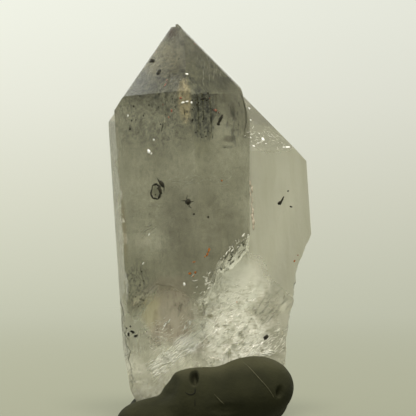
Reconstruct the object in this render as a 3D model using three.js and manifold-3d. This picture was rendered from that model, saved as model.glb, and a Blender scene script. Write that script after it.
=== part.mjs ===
// A skeletal amethyst point, about 38 mm tall, standing in a pressed lump of display putty.
// Two quartz individuals have grown parallel: a stout front one, broken off below along a slant,
// and a broader, paler one behind it. They grew together, so they share one solid.
//
// Units are millimetres. The part's frame has +Z up and +X to the viewer's right, and -Y faces the
// viewer. The crystal is made in a frame of its own, with its long axis along Z, and then it leans.

import * as THREE from "three";
import { mergeVertices } from "three/addons/utils/BufferGeometryUtils.js";
import Module from "manifold-3d";

const wasm = await Module();
wasm.setup();

// How the crystal stands: its axis leans to the viewer's left, and its foot is inside the putty
const LEAN_DEG = 3.75;
const CRYSTAL_FOOT_HEIGHT = 2.4;
// The middle of the whole footprint, which becomes the origin
const FOOTPRINT_MIDDLE = { x: 1.015, y: 2.488 };
// The putty keeps this clear of the crystal all round
const CONTACT_GAP = 0.35;

// Quartz: six prism faces, each 60 degrees on from the last, and above each a face of the point.
// Those slope 38.2 degrees from the long axis. The left and right ones, which are seen edge on,
// measure a little less and a little more.
const FACE_TURN_DEG = 60;
const PRISM_FACES = ["right", "backRight", "backLeft", "left", "frontLeft", "frontRight"];
const POINT_SLOPE_DEG = {
  right: 39.9,
  backRight: 38.2,
  backLeft: 38.2,
  left: 36.9,
  frontLeft: 38.2,
  frontRight: 38.2,
};

// For each prism face: its distance from the long axis, and the height where the point begins
const BACK_INDIVIDUAL = {
  right: { out: 12.33, shoulder: 23.22 },
  backRight: { out: 11.28, shoulder: 25.76 },
  backLeft: { out: 7.78, shoulder: 30.3 },
  left: { out: 7.4, shoulder: 28.45 },
  frontLeft: { out: 2.56, shoulder: 27.5 },
  frontRight: { out: 3.5, shoulder: 24.5 },
};
const FRONT_INDIVIDUAL = {
  right: { out: 12.33, shoulder: 23.28 },
  backRight: { out: 11.2, shoulder: 25.8 },
  backLeft: { out: 7.7, shoulder: 30.35 },
  left: { out: 6.6, shoulder: 29.35 },
  frontLeft: { out: 4.65, shoulder: 30.67 },
  frontRight: { out: 5.75, shoulder: 30.2 },
};
// The front individual's right side is two steep faces that meet in a blunt edge. Each is given by
// two places that it passes through, as across and up.
const FRONT_RIGHT_SIDE = [
  [[6.04, 30.9], [6.71, 27.42]],
  [[6.71, 27.42], [5.97, 16.2]],
];
// The tip has lost a chip on its left
const TIP_HEIGHT = 37.74;
const TIP_CHIP_HEIGHT = 37.5;

// Where the front individual is broken off, seen from the front: across, height. Further back the
// break is lower.
const FRONT_BREAK = [
  [-9, 8.4],
  [-6.4, 9.6],
  [-4.5, 11.3],
  [-3.5, 12.1],
  [-1.9, 11.7],
  [0.3, 10],
  [1.4, 10.3],
  [1.9, 11.6],
  [2.7, 13.3],
  [4.3, 14.8],
  [5.9, 16.6],
  [9, 17.8],
];
const FRONT_BREAK_FALL = { slope: 0.6, from: -4.5, hollow: 0.9 };
// The broken right side of the back individual: height, across
const RIGHT_BREAK = [
  [-3, 8.2],
  [0, 8.5],
  [5.2, 9.15],
  [8.1, 9.74],
  [9.1, 10.1],
  [11.75, 10.5],
  [13.5, 11.16],
  [14.6, 11.76],
  [15.75, 12.33],
  [17.2, 13.2],
];
// The broken foot, which the putty hides, and two slants where its left corner is missing, each
// through two places: across, height
const FOOT_HEIGHT = -0.7;
const FOOT_CORNER = [
  [[-7.4, 5.6], [-6.93, 1.3]],
  [[-6.93, 1.3], [-5.9, -0.8]],
];
// The broken lower parts of the prism faces: shallow ledges up to this height and of this depth
const BROKEN_LOW_FRONT = [
  { face: "frontRight", height: 11.5, depth: 0.42, hollowSize: 2.3, seed: 5, level: [-7, 16] },
  { face: "frontLeft", height: 8.5, depth: 0.35, hollowSize: 2.6, seed: 9, level: [-9, 9] },
];
const BROKEN_LOW_BACK = [
  { face: "backRight", height: 9.5, depth: 0.9, hollowSize: 4.2, seed: 13, level: [-12, 12] },
  { face: "backLeft", height: 6.5, depth: 0.7, hollowSize: 3.6, seed: 17, level: [-12, 12] },
];

// Skeletal growth at the back: the middle of a face of the point lags behind its edges, so it is let
// in by flat terraces that repeat the face's outline, each one smaller and deeper
const SUNK_FACES = [
  { face: "backRight", sizes: [0.7, 0.5, 0.28], step: 0.2 },
  { face: "backLeft", sizes: [0.66, 0.4], step: 0.22 },
];
// Skeletal growth in front: flat windows and narrow etched channels by the front edge, as outlines of
// across and height seen from the front
const FRONT_WINDOWS = [
  { face: "frontLeft", onPoint: true, depth: 0.28, outline: [[-0.85, 32.8], [1.5, 32.5], [1.5, 30.2], [-1.3, 30.2]] },
  { face: "frontLeft", onPoint: false, depth: 0.28, outline: [[-1.3, 31], [1.6, 31], [1.6, 29.9], [0.5, 27.4], [-1.7, 27.2]] },
  { face: "frontLeft", onPoint: false, depth: 0.5, outline: [[-0.7, 31], [0.4, 31], [0.2, 28.3], [-0.5, 27.9]] },
  { face: "frontRight", onPoint: false, depth: 0.35, outline: [[1.4, 30], [1.8, 30.1], [1.75, 27], [1.6, 26.3], [1.45, 27]] },
  { face: "frontRight", onPoint: false, depth: 0.25, outline: [[2, 30.6], [2.3, 30.6], [2.25, 27.9], [2.1, 27.4]] },
  { face: "frontRight", onPoint: false, depth: 0.4, outline: [[2.5, 29.7], [3, 29.8], [2.95, 26.4], [2.7, 25.6], [2.55, 26.2]] },
  { face: "frontRight", onPoint: false, depth: 0.2, outline: [[3.3, 30], [3.6, 30.1], [3.55, 28.5], [3.4, 28]] },
];

// The putty is lumps run together: the middle of each, and its half-lengths along X, Y and Z
const PUTTY_LUMPS = [
  { middle: [0.2, 3.2, 1.1], half: [7.3, 8.2, 2.3] },
  { middle: [5.3, -4.4, 4.1], half: [3.9, 3.0, 3.05] },
  { middle: [0.0, -4.9, 3.1], half: [4.3, 2.7, 3.0] },
  { middle: [-4.2, -4.6, 0.8], half: [4.0, 2.6, 2.1] },
  { middle: [6.9, -2.0, 3.4], half: [1.9, 2.6, 2.7] },
  { middle: [0.8, 9.6, 1.4], half: [5.6, 2.8, 2.2] },
  { middle: [-3.6, 6.0, 0.9], half: [3.2, 3.8, 1.9] },
];
// How sharply one lump gives way to the next, and the place that all of the surface can be seen from
const LUMP_BLEND = 6;
const PUTTY_MIDDLE = [0.5, 1.5, 1.0];
const PUTTY_REACH = 20;
const PUTTY_DETAIL = 15;

const CUTTER_REACH = 60;
const RELIEF_CELL = 0.8;

// A smooth step from 0 at low to 1 at high
function smoothStep(low, high, value) {
  const share = Math.min(Math.max((value - low) / (high - low), 0), 1);
  return share * share * (3 - 2 * share);
}

// The height at a place along a list of [place, height] pairs, straight between them
function along(points, place) {
  const next = points.findIndex(([at]) => at >= place);
  if (next === 0) return points[0][1];
  if (next < 0) return points[points.length - 1][1];
  const [[from, low], [to, high]] = [points[next - 1], points[next]];
  return low + ((high - low) * (place - from)) / (to - from);
}

// A number from 0 to 1 that two whole numbers always give
function scatter(i, j) {
  const wave = Math.sin(i * 127.1 + j * 311.7) * 43758.5453;
  return wave - Math.floor(wave);
}

// Shell-like hollows, as quartz breaks: 0 in the middle of each, up to 1 on the ridges between them
function hollows(x, y, size, seed) {
  const [column, row] = [Math.floor(x / size), Math.floor(y / size)];
  let nearest = size * size;
  for (let i = column - 1; i <= column + 1; i++)
    for (let j = row - 1; j <= row + 1; j++) {
      const dx = (i + scatter(i + seed, j)) * size - x;
      const dy = (j + scatter(j, i - seed)) * size - y;
      nearest = Math.min(nearest, dx * dx + dy * dy);
    }
  return nearest / (size * size);
}

// A flat face: the direction out of it, its distance from the long axis, and a frame on it with X
// level along the face, Y up its slope and Z out of it
function flatFace(azimuthDeg, riseDeg, distance) {
  const azimuth = THREE.MathUtils.degToRad(azimuthDeg);
  const rise = THREE.MathUtils.degToRad(riseDeg);
  const level = new THREE.Vector3(-Math.sin(azimuth), Math.cos(azimuth), 0);
  const out = new THREE.Vector3(
    Math.cos(azimuth) * Math.cos(rise),
    Math.sin(azimuth) * Math.cos(rise),
    Math.sin(rise),
  );
  const up = new THREE.Vector3().crossVectors(out, level);
  const frame = new THREE.Matrix4().makeBasis(level, up, out);
  frame.setPosition(out.clone().multiplyScalar(distance));
  return { out, distance, frame };
}

// The face, edge on from the front, that faces right or left and passes through two places, which
// are across and up, the higher one first. Its azimuth is 0 or 180.
function sideFace(azimuthDeg, [[acrossHigh, high], [acrossLow, low]]) {
  const side = azimuthDeg === 0 ? 1 : -1;
  const rise = Math.atan2((acrossLow - acrossHigh) * side, high - low);
  const distance = acrossHigh * side * Math.cos(rise) + high * Math.sin(rise);
  return flatFace(azimuthDeg, THREE.MathUtils.radToDeg(rise), distance);
}

// The six prism faces of an individual, or the six faces of its point
function sixFaces(sizes, onPoint) {
  return PRISM_FACES.map((name, turn) => {
    const { out, shoulder } = sizes[name];
    const slope = onPoint ? THREE.MathUtils.degToRad(POINT_SLOPE_DEG[name]) : 0;
    const distance = out * Math.cos(slope) + shoulder * Math.sin(slope);
    return flatFace(turn * FACE_TURN_DEG, THREE.MathUtils.radToDeg(slope), distance);
  });
}

// One of those faces by name
function faceOf(sizes, name, onPoint) {
  return sixFaces(sizes, onPoint)[PRISM_FACES.indexOf(name)];
}

function solidFrom(geometry) {
  const bare = geometry.clone();
  bare.deleteAttribute("normal");
  bare.deleteAttribute("uv");
  const merged = mergeVertices(bare, 1e-4);
  return new wasm.Manifold(
    new wasm.Mesh({
      numProp: 3,
      vertProperties: merged.getAttribute("position").array,
      triVerts: new Uint32Array(merged.index.array),
    }),
  );
}

function geometryFrom(solid) {
  const mesh = solid.getMesh();
  const shared = new THREE.BufferGeometry();
  shared.setAttribute("position", new THREE.BufferAttribute(new Float32Array(mesh.vertProperties), 3));
  shared.setIndex(new THREE.BufferAttribute(new Uint32Array(mesh.triVerts), 1));
  const faceted = shared.toNonIndexed();
  faceted.computeVertexNormals();
  return faceted;
}

// Everything beyond a face, as one large block
function beyond(face) {
  const block = new THREE.BoxGeometry(CUTTER_REACH * 4, CUTTER_REACH * 4, CUTTER_REACH * 2);
  block.translate(0, 0, CUTTER_REACH);
  block.applyMatrix4(face.frame);
  return solidFrom(block);
}

function cutAll(body, cutters) {
  return cutters.reduce((left, cutter) => left.subtract(cutter), body);
}

// The body inside a set of faces
function facetedBody(faces) {
  const blank = solidFrom(new THREE.BoxGeometry(CUTTER_REACH, CUTTER_REACH, CUTTER_REACH * 2));
  return cutAll(blank, faces.map(beyond));
}

// A block beyond a face, with a relief for its near side: heightAt(level, up) is how far outside the
// face it lies there. What the block covers is broken away.
function reliefBlock(face, level, up, heightAt) {
  const [width, height] = [level[1] - level[0], up[1] - up[0]];
  const [columns, rows] = [Math.round(width / RELIEF_CELL), Math.round(height / RELIEF_CELL)];
  const block = new THREE.BoxGeometry(width, height, CUTTER_REACH, columns, rows, 1);
  block.translate((level[0] + level[1]) / 2, (up[0] + up[1]) / 2, CUTTER_REACH / 2);
  const position = block.getAttribute("position");
  for (let i = 0; i < position.count; i++) {
    const near = position.getZ(i) < CUTTER_REACH / 2;
    if (near) position.setZ(i, heightAt(position.getX(i), position.getY(i)));
  }
  block.applyMatrix4(face.frame);
  return solidFrom(block);
}

// The corners of one face of a faceted body, in that face's own frame and in order round it
function faceCorners(faces, chosen) {
  const others = faces.filter((face) => face !== chosen);
  const inFace = chosen.frame.clone().invert();
  const corners = [];
  for (const [i, first] of others.entries())
    for (const second of others.slice(i + 1)) {
      const meeting = [chosen, first, second];
      const matrix = new THREE.Matrix3().set(...meeting.flatMap(({ out }) => out.toArray()));
      if (Math.abs(matrix.determinant()) < 1e-6) continue;
      const corner = new THREE.Vector3(...meeting.map(({ distance }) => distance));
      corner.applyMatrix3(matrix.invert());
      if (others.every(({ out, distance }) => out.dot(corner) <= distance + 1e-6)) corners.push(corner);
    }
  for (const corner of corners) corner.applyMatrix4(inFace);
  const middle = new THREE.Vector3();
  for (const corner of corners) middle.addScaledVector(corner, 1 / corners.length);
  const turnOf = (corner) => Math.atan2(corner.y - middle.y, corner.x - middle.x);
  return { middle, corners: corners.sort((a, b) => turnOf(a) - turnOf(b)) };
}

// What a flat-floored window takes out of a face: its outline is in the face's own frame
function windowCutter(face, outline, depth) {
  const window = new THREE.ExtrudeGeometry(new THREE.Shape(outline), { depth: depth + 1, bevelEnabled: false });
  window.translate(0, 0, -depth);
  window.applyMatrix4(face.frame);
  return solidFrom(window);
}

function sunkTerraces({ face, sizes, step }) {
  const faces = [...sixFaces(FRONT_INDIVIDUAL, false), ...sixFaces(FRONT_INDIVIDUAL, true)];
  const chosen = faces[PRISM_FACES.length + PRISM_FACES.indexOf(face)];
  const { corners, middle } = faceCorners(faces, chosen);
  return sizes.map((size, index) => {
    const outline = corners.map((corner) => {
      const place = corner.clone().sub(middle).multiplyScalar(size).add(middle);
      return new THREE.Vector2(place.x, place.y);
    });
    return windowCutter(chosen, outline, step * (index + 1));
  });
}

function frontWindow({ face, onPoint, depth, outline }) {
  const chosen = faceOf(FRONT_INDIVIDUAL, face, onPoint);
  const inFace = chosen.frame.clone().invert();
  const placed = outline.map(([across, height]) => {
    const reach = chosen.distance - chosen.out.x * across - chosen.out.z * height;
    const place = new THREE.Vector3(across, reach / chosen.out.y, height).applyMatrix4(inFace);
    return new THREE.Vector2(place.x, place.y);
  });
  return windowCutter(chosen, placed, depth);
}

function frontBreak() {
  const { slope, from, hollow } = FRONT_BREAK_FALL;
  return reliefBlock(flatFace(0, -90, 0), [-8, 14], [-9, 9], (depth, across) => {
    const ledge = along(FRONT_BREAK, across) - slope * (depth - from);
    return -(ledge + hollow * hollows(across, depth, 2.6, 3));
  });
}

function rightBreak() {
  return reliefBlock(flatFace(0, 0, 0), [-3, 13], [-3, 19], (depth, height) => {
    const brokenHere = (1 - smoothStep(14, 17, height)) * smoothStep(4, 8, depth);
    return along(RIGHT_BREAK, height) - 0.9 * (1 - hollows(depth, height, 4.2, 11)) * brokenHere;
  });
}

function footBreak() {
  return reliefBlock(flatFace(0, -90, 0), [-8, 15], [-10, 15], (depth, across) => {
    const missingAtBack = Math.max(depth - 8, 0) * 0.35;
    return -(FOOT_HEIGHT + 1.2 * hollows(across, depth, 5, 7) + missingAtBack);
  });
}

function brokenLow({ face, height, depth, hollowSize, seed, level }) {
  const skin = 0.12;
  return reliefBlock(faceOf(BACK_INDIVIDUAL, face, false), level, [-3, height + 1.5], (across, up) => {
    const edge = up + 1.2 * Math.sin(across * 0.9 + seed);
    const broken = 1 - smoothStep(height - 3, height, edge);
    return skin - (skin + depth * (1 - hollows(across, up, hollowSize, seed))) * broken;
  });
}

function frontIndividual() {
  const faces = [...sixFaces(FRONT_INDIVIDUAL, false), ...sixFaces(FRONT_INDIVIDUAL, true)];
  for (const places of FRONT_RIGHT_SIDE) faces.push(sideFace(0, places));
  return facetedBody(faces).subtract(frontBreak());
}

function backIndividual() {
  const faces = [...sixFaces(BACK_INDIVIDUAL, false), ...sixFaces(BACK_INDIVIDUAL, true)];
  return cutAll(facetedBody(faces), BROKEN_LOW_FRONT.map(brokenLow));
}

function tipChip() {
  const chip = new THREE.BoxGeometry(4, 8, 2);
  chip.translate(-2, 0, TIP_CHIP_HEIGHT + 1);
  return solidFrom(chip);
}

function crystalSolid() {
  return cutAll(backIndividual().add(frontIndividual()), [
    rightBreak(),
    footBreak(),
    ...FOOT_CORNER.map((places) => beyond(sideFace(180, places))),
    ...BROKEN_LOW_BACK.map(brokenLow),
    tipChip(),
    beyond(flatFace(0, 90, TIP_HEIGHT)),
    ...SUNK_FACES.flatMap(sunkTerraces),
    ...FRONT_WINDOWS.map(frontWindow),
  ]);
}

// From the crystal's own frame to the part's
function stand(geometry) {
  geometry.rotateY(-THREE.MathUtils.degToRad(LEAN_DEG));
  geometry.translate(0, 0, CRYSTAL_FOOT_HEIGHT);
  return geometry;
}

// How far inside the run-together lumps a place is: 1 on their surface, more inside
function puttyFill(place) {
  return PUTTY_LUMPS.reduce((fill, { middle, half }) => {
    const steps = [0, 1, 2].map((axis) => (place[axis] - middle[axis]) / half[axis]);
    return fill + Math.exp(-LUMP_BLEND * (Math.hypot(...steps) - 1));
  }, 0);
}

// How far from its middle the putty reaches in a direction
function puttyReach(direction) {
  const at = (distance) => PUTTY_MIDDLE.map((start, axis) => start + direction[axis] * distance);
  let outside = PUTTY_REACH;
  const step = PUTTY_REACH / 80;
  while (outside > step && puttyFill(at(outside - step)) < 1) outside -= step;
  let inside = outside - step;
  for (let turn = 0; turn < 12; turn++) {
    const half = (inside + outside) / 2;
    if (puttyFill(at(half)) < 1) outside = half;
    else inside = half;
  }
  return inside;
}

// The hollow that the crystal's foot has pressed into the putty
function socket() {
  const outwards = new THREE.Matrix4().makeTranslation(0, 0, CONTACT_GAP);
  const spread = (face) => ({ ...face, frame: face.frame.clone().multiply(outwards) });
  const low = RIGHT_BREAK[1];
  const high = RIGHT_BREAK[3];
  const faces = [
    ...sixFaces(BACK_INDIVIDUAL, false),
    sideFace(0, [[high[1], high[0]], [low[1], low[0]]]),
    ...FOOT_CORNER.map((places) => sideFace(180, places)),
    flatFace(0, -90, -FOOT_HEIGHT),
  ];
  const hollow = facetedBody(faces.map(spread));
  return solidFrom(stand(geometryFrom(hollow)));
}

function puttySolid() {
  const skin = new THREE.IcosahedronGeometry(1, PUTTY_DETAIL);
  const position = skin.getAttribute("position");
  for (let i = 0; i < position.count; i++) {
    const direction = new THREE.Vector3().fromBufferAttribute(position, i);
    direction.set(...direction.toArray().map((value) => Math.round(value * 1e6) / 1e6));
    const reach = puttyReach(direction.toArray());
    position.setXYZ(i, ...PUTTY_MIDDLE.map((start, axis) => start + direction.getComponent(axis) * reach));
  }
  return cutAll(solidFrom(skin), [beyond(flatFace(0, -90, 0)), socket()]);
}

function piece(name, geometry, look) {
  const mesh = new THREE.Mesh(geometry, new THREE.MeshStandardMaterial(look));
  mesh.name = name;
  mesh.position.set(-FOOTPRINT_MIDDLE.x, -FOOTPRINT_MIDDLE.y, 0);
  return mesh;
}

const QUARTZ = { color: 0xa3a28c, roughness: 0.08, metalness: 0, transparent: true, opacity: 0.45 };
const PUTTY = { color: 0x3a3c2c, roughness: 0.7, metalness: 0 };

const part = new THREE.Group();
part.add(piece("amethyst_crystal", stand(geometryFrom(crystalSolid())), QUARTZ));
part.add(piece("display_putty", geometryFrom(puttySolid()), PUTTY));

export default part;
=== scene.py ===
# %% [markdown]
# # A skeletal amethyst point in a lump of display putty
#
# The object is one quartz crystal group, 38 mm tall: a stout smoky individual in front, grown
# together with a broader, paler one behind it. It stands in a pressed lump of dark putty.
# This lesson rebuilds both over their CAD solids. The growth faces stay exactly flat, because that is
# what makes a crystal read as a crystal, and all of the fine work goes into what is broken, etched
# or sealed inside.

# %% Load the frame
import math

import bmesh
import bpy
import numpy as np
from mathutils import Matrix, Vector
from mathutils.bvhtree import BVHTree


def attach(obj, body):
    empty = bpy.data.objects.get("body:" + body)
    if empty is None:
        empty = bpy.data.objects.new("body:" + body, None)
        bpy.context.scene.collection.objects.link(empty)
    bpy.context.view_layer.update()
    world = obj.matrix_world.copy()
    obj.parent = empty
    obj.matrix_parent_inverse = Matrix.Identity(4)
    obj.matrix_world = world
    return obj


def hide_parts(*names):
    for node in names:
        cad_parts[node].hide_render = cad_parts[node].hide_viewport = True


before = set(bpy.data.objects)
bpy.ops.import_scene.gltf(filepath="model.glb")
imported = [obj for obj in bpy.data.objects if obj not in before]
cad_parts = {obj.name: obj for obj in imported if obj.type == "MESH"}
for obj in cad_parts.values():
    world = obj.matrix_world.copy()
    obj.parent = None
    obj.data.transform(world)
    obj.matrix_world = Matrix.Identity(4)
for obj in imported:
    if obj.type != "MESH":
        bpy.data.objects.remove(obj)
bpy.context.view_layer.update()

# %% [markdown]
# ## Two frames
#
# The crystal is described in a frame of its own, in millimetres, with its long axis along Z: across,
# depth and height. It leans 3.75 degrees to the left in the putty. One function takes its places to
# the part's frame, in metres, so every later number can be read off the crystal itself.

# %% Place the crystal's own millimetres in the part
MM = 0.001
LEAN = math.radians(3.75)
CRYSTAL_FOOT_HEIGHT = 2.4
FOOTPRINT_MIDDLE = np.array([1.015, 2.488, 0.0])


def stand(points):
    """Turn about Y by the lean, x cos - z sin and x sin + z cos, lift by the foot's height, and centre."""
    across, depth, height = np.asarray(points, float).T
    x = across * math.cos(LEAN) - height * math.sin(LEAN)
    z = across * math.sin(LEAN) + height * math.cos(LEAN) + CRYSTAL_FOOT_HEIGHT
    return (np.stack([x, depth, z], axis=1) - FOOTPRINT_MIDDLE) * MM


def lie_in_part(points):
    """Millimetres of the part's frame before its footprint is centred, such as the putty's."""
    return (np.asarray(points, float) - FOOTPRINT_MIDDLE) * MM


def in_metres(points):
    """Millimetres of the part's frame, each times 0.001."""
    return np.asarray(points, float) * MM


# %% [markdown]
# ## Closed shapes from grids
#
# Every new shape here is a numpy grid of places: the grains, the threads, the putty, the tent and the
# broken sides differ only in where the places lie. Ready-made balls and curves would put their points
# where they like. So a few functions number the faces of any grid, and close it at both ends with one
# point each.

# %% Number the faces of a grid and make a mesh
def add_object(name, mesh):
    """The mesh as an object at the origin, not turned and not scaled."""
    made = bpy.data.objects.new(name, mesh)
    bpy.context.scene.collection.objects.link(made)
    return made


def mesh_from(name, points, faces):
    """A mesh from places and from the corner numbers of each face."""
    mesh = bpy.data.meshes.new(name)
    mesh.from_pydata(np.asarray(points).tolist(), [], [list(map(int, face)) for face in faces])
    mesh.validate()
    return mesh


def turn_outward(mesh):
    """Each face of a closed mesh is turned to look out of it."""
    block = bmesh.new()
    block.from_mesh(mesh)
    bmesh.ops.recalc_face_normals(block, faces=block.faces[:])
    block.to_mesh(mesh)
    block.free()


def places_of(mesh):
    """The places of all points of a mesh, three numbers a row."""
    places = np.empty(3 * len(mesh.vertices), np.float32)
    mesh.vertices.foreach_get("co", places)
    return places.reshape(-1, 3)


def shade_smooth(mesh):
    """Every face is shaded as part of one smooth surface."""
    mesh.polygons.foreach_set("use_smooth", np.ones(len(mesh.polygons), bool))


def grid_faces(rows, columns, wrap=False):
    """Corner numbers of the quads of a grid, row by row, joined end to start where it wraps."""
    starts = np.arange(columns if wrap else columns - 1)
    row, column = np.meshgrid(np.arange(rows - 1), starts, indexing="ij")
    beside = (column + 1) % columns
    below, above = row * columns, (row + 1) * columns
    corners = [below + column, below + beside, above + beside, above + column]
    return np.stack([corner.ravel() for corner in corners], axis=1)


def ball_faces(rows, columns):
    """Faces of a closed surface: quads between its inner rings, then a fan to one point at each end."""
    ring = np.arange(columns)
    after = np.roll(ring, -1)
    top = (rows - 3) * columns
    bottom_fan = np.stack([np.full(columns, (rows - 2) * columns), after, ring], axis=1)
    top_fan = np.stack([np.full(columns, (rows - 2) * columns + 1), top + ring, top + after], axis=1)
    return [*grid_faces(rows - 2, columns, wrap=True), *bottom_fan, *top_fan]


def ball_points(grid):
    """The points that go with those faces, from a grid whose first and last rows are each one place."""
    return np.concatenate([grid[1:-1].reshape(-1, 3), grid[:1, 0], grid[-1:, 0]])


# %% [markdown]
# ## Flat faces
#
# A crystal's body is what is left inside a set of planes. Quartz has six prism faces, 60 degrees
# apart, and six faces of the point above them, 38 degrees from the long axis. A block is cut by one
# plane after another with bmesh's bisect, which keeps every face perfectly flat. A surface over a
# grid would round the edges off. Each individual is listed face by face: how far out the face is, and
# how high its line to the point lies.

# %% Faces and bodies inside them
FACE_TURN = 60.0
PRISM_FACES = ["right", "back_right", "back_left", "left", "front_left", "front_right"]
POINT_SLOPE = {"right": 39.9, "left": 36.9}
USUAL_SLOPE = 38.2
BACK_INDIVIDUAL = {
    "right": (12.33, 23.22),
    "back_right": (11.28, 25.76),
    "back_left": (7.78, 30.3),
    "left": (7.4, 28.45),
    "front_left": (2.56, 27.5),
    "front_right": (3.5, 24.5),
}
FRONT_INDIVIDUAL = {
    "right": (12.33, 23.28),
    "back_right": (11.2, 25.8),
    "back_left": (7.7, 30.35),
    "left": (6.6, 29.35),
    "front_left": (4.65, 30.67),
    "front_right": (5.75, 30.2),
}
INDIVIDUALS = {"front": FRONT_INDIVIDUAL, "back": BACK_INDIVIDUAL}
FRONT_RIGHT_SIDE = [((6.04, 30.9), (6.71, 27.42)), ((6.71, 27.42), (5.97, 16.2))]
FOOT_CORNER = [((-7.4, 5.6), (-6.93, 1.3)), ((-6.93, 1.3), (-5.9, -0.8))]
TIP_HEIGHT = 37.74
BLANK_SIZE = 120.0


def flat_face(azimuth, rise, distance):
    """Out: (cos a cos r, sin a cos r, sin r). Level along it: (-sin a, cos a, 0). Up: out x level."""
    a, r = math.radians(azimuth), math.radians(rise)
    out = np.array([math.cos(a) * math.cos(r), math.sin(a) * math.cos(r), math.sin(r)])
    level = np.array([-math.sin(a), math.cos(a), 0.0])
    return {"out": out, "level": level, "up": np.cross(out, level), "distance": distance}


def side_face(side, higher, lower):
    """The face, edge on from the front, through two places (across, height). side is 1 right, -1 left."""
    rise = math.atan2((lower[0] - higher[0]) * side, higher[1] - lower[1])
    distance = higher[0] * side * math.cos(rise) + higher[1] * math.sin(rise)
    return flat_face(0 if side > 0 else 180, math.degrees(rise), distance)


def face_of(sizes, name, on_point):
    """A prism face at its distance, or the face above it, through the line at the shoulder's height."""
    out, shoulder = sizes[name]
    slope = POINT_SLOPE.get(name, USUAL_SLOPE) if on_point else 0.0
    distance = out * math.cos(math.radians(slope)) + shoulder * math.sin(math.radians(slope))
    return flat_face(PRISM_FACES.index(name) * FACE_TURN, slope, distance)


def twelve_faces(sizes):
    """The six prism faces, and then the six faces of the point."""
    return [face_of(sizes, name, on_point) for on_point in (False, True) for name in PRISM_FACES]


def worn_edge(first, second, depth):
    """A narrow face along the edge of two others. Out: their sum, made one long. Depth is shaved off."""
    total = first["out"] + second["out"]
    length = np.linalg.norm(total)
    out = total / length
    level = np.cross([0.0, 0.0, 1.0], out)
    level = level / np.linalg.norm(level)
    distance = (first["distance"] + second["distance"]) / length - depth
    return {"out": out, "level": level, "up": np.cross(out, level), "distance": distance}


BOTTOM_FACE = flat_face(0, -90, 3.0)


def faceted_body(name, faces, finish, gap=0.0):
    """What is left of a block when each plane, gap further out, has cut away all that is outside it."""
    body = bmesh.new()
    bmesh.ops.create_cube(body, size=BLANK_SIZE)
    for face in faces:
        place = Vector(face["out"] * (face["distance"] + gap))
        everything = body.verts[:] + body.edges[:] + body.faces[:]
        cut = bmesh.ops.bisect_plane(
            body, geom=everything, plane_co=place, plane_no=Vector(face["out"]), clear_outer=True
        )
        rim = [part for part in cut["geom_cut"] if isinstance(part, bmesh.types.BMEdge)]
        bmesh.ops.edgeloop_fill(body, edges=rim)
    bmesh.ops.recalc_face_normals(body, faces=body.faces[:])
    mesh = bpy.data.meshes.new(name)
    body.to_mesh(mesh)
    body.free()
    mesh.materials.append(bpy.data.materials[finish])
    return add_object(name, mesh)


# %% [markdown]
# ## Cutting one body with another
#
# Growth, breakage and etching all end in the same step: a solid is joined to the crystal or taken
# out of it. Each solid carries a stand-in material that says how its faces came about, and the exact
# Boolean hands it on to the faces that it leaves. Later that becomes an attribute, so one quartz
# material can treat growth faces, broken sides and windows differently.

# %% Join and cut
ORIGINS = ["front growth", "back growth", "broken", "window"]
for origin in ORIGINS:
    bpy.data.materials.new(origin)


def combine(body, other, operation):
    """The body becomes what the Boolean makes of it and the other solid, which is used up."""
    boolean = body.modifiers.new("combine", "BOOLEAN")
    boolean.object = other
    boolean.operation = operation
    boolean.solver = "EXACT"
    boolean.material_mode = "TRANSFER"
    depsgraph = bpy.context.evaluated_depsgraph_get()
    mesh = bpy.data.meshes.new_from_object(body.evaluated_get(depsgraph))
    body.modifiers.clear()
    body.data = mesh
    bpy.data.objects.remove(other)


def closed_solid(name, points, faces, finish):
    """A closed body with all faces looking out, in one stand-in material."""
    mesh = mesh_from(name, points, faces)
    turn_outward(mesh)
    mesh.materials.append(bpy.data.materials[finish])
    return add_object(name, mesh)


# %% [markdown]
# ## How quartz breaks
#
# Quartz has no cleavage. It breaks in shell-shaped hollows that meet in sharp ridges, with finer
# facets inside them where the break jumped from level to level. Both are worked out from scattered
# points: the hollows from the distance to the nearest point, and the facets from a small tilted plane
# for each point. The grids are fine, about 0.15 mm, because every facet throws its own glint.

# %% Hollows and facets
RELIEF_CELL = 0.15
COARSE_CELL = 0.8
FOOT_CELL = 0.5
CUTTER_DEPTH = 15.0
SCATTER_TURNS = (127.1, 311.7)
SCATTER_WAVE = 43758.5453
FACET_SEEDS = (3.7, 9.2, -5.1, 2.3)
FACET_JUMP = 0.5


def scatter(i, j):
    """A number from 0 to 1 that two whole numbers always give: the fraction of a large sine."""
    wave = np.sin(i * SCATTER_TURNS[0] + j * SCATTER_TURNS[1]) * SCATTER_WAVE
    return wave - np.floor(wave)


def nearest_point(x, y, size, seed):
    """Over the nine cells round each place: the offset to the nearest scattered point, and its cell."""
    column, row = np.floor(x / size), np.floor(y / size)
    best = np.full(x.shape, np.inf)
    found = [np.zeros(x.shape) for _ in range(4)]
    for di in (-1, 0, 1):
        for dj in (-1, 0, 1):
            i, j = column + di, row + dj
            dx = x - (i + scatter(i + seed, j)) * size
            dy = y - (j + scatter(j, i - seed)) * size
            far = dx * dx + dy * dy
            nearer = far < best
            best = np.where(nearer, far, best)
            found = [np.where(nearer, new, old) for new, old in zip((dx, dy, i, j), found)]
    return found


def hollows(x, y, size, seed):
    """0 in the middle of each hollow and up to 1 on the ridges: squared distance over the squared size."""
    dx, dy, _, _ = nearest_point(x, y, size, seed)
    return np.minimum((dx * dx + dy * dy) / (size * size), 1.0)


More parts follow.
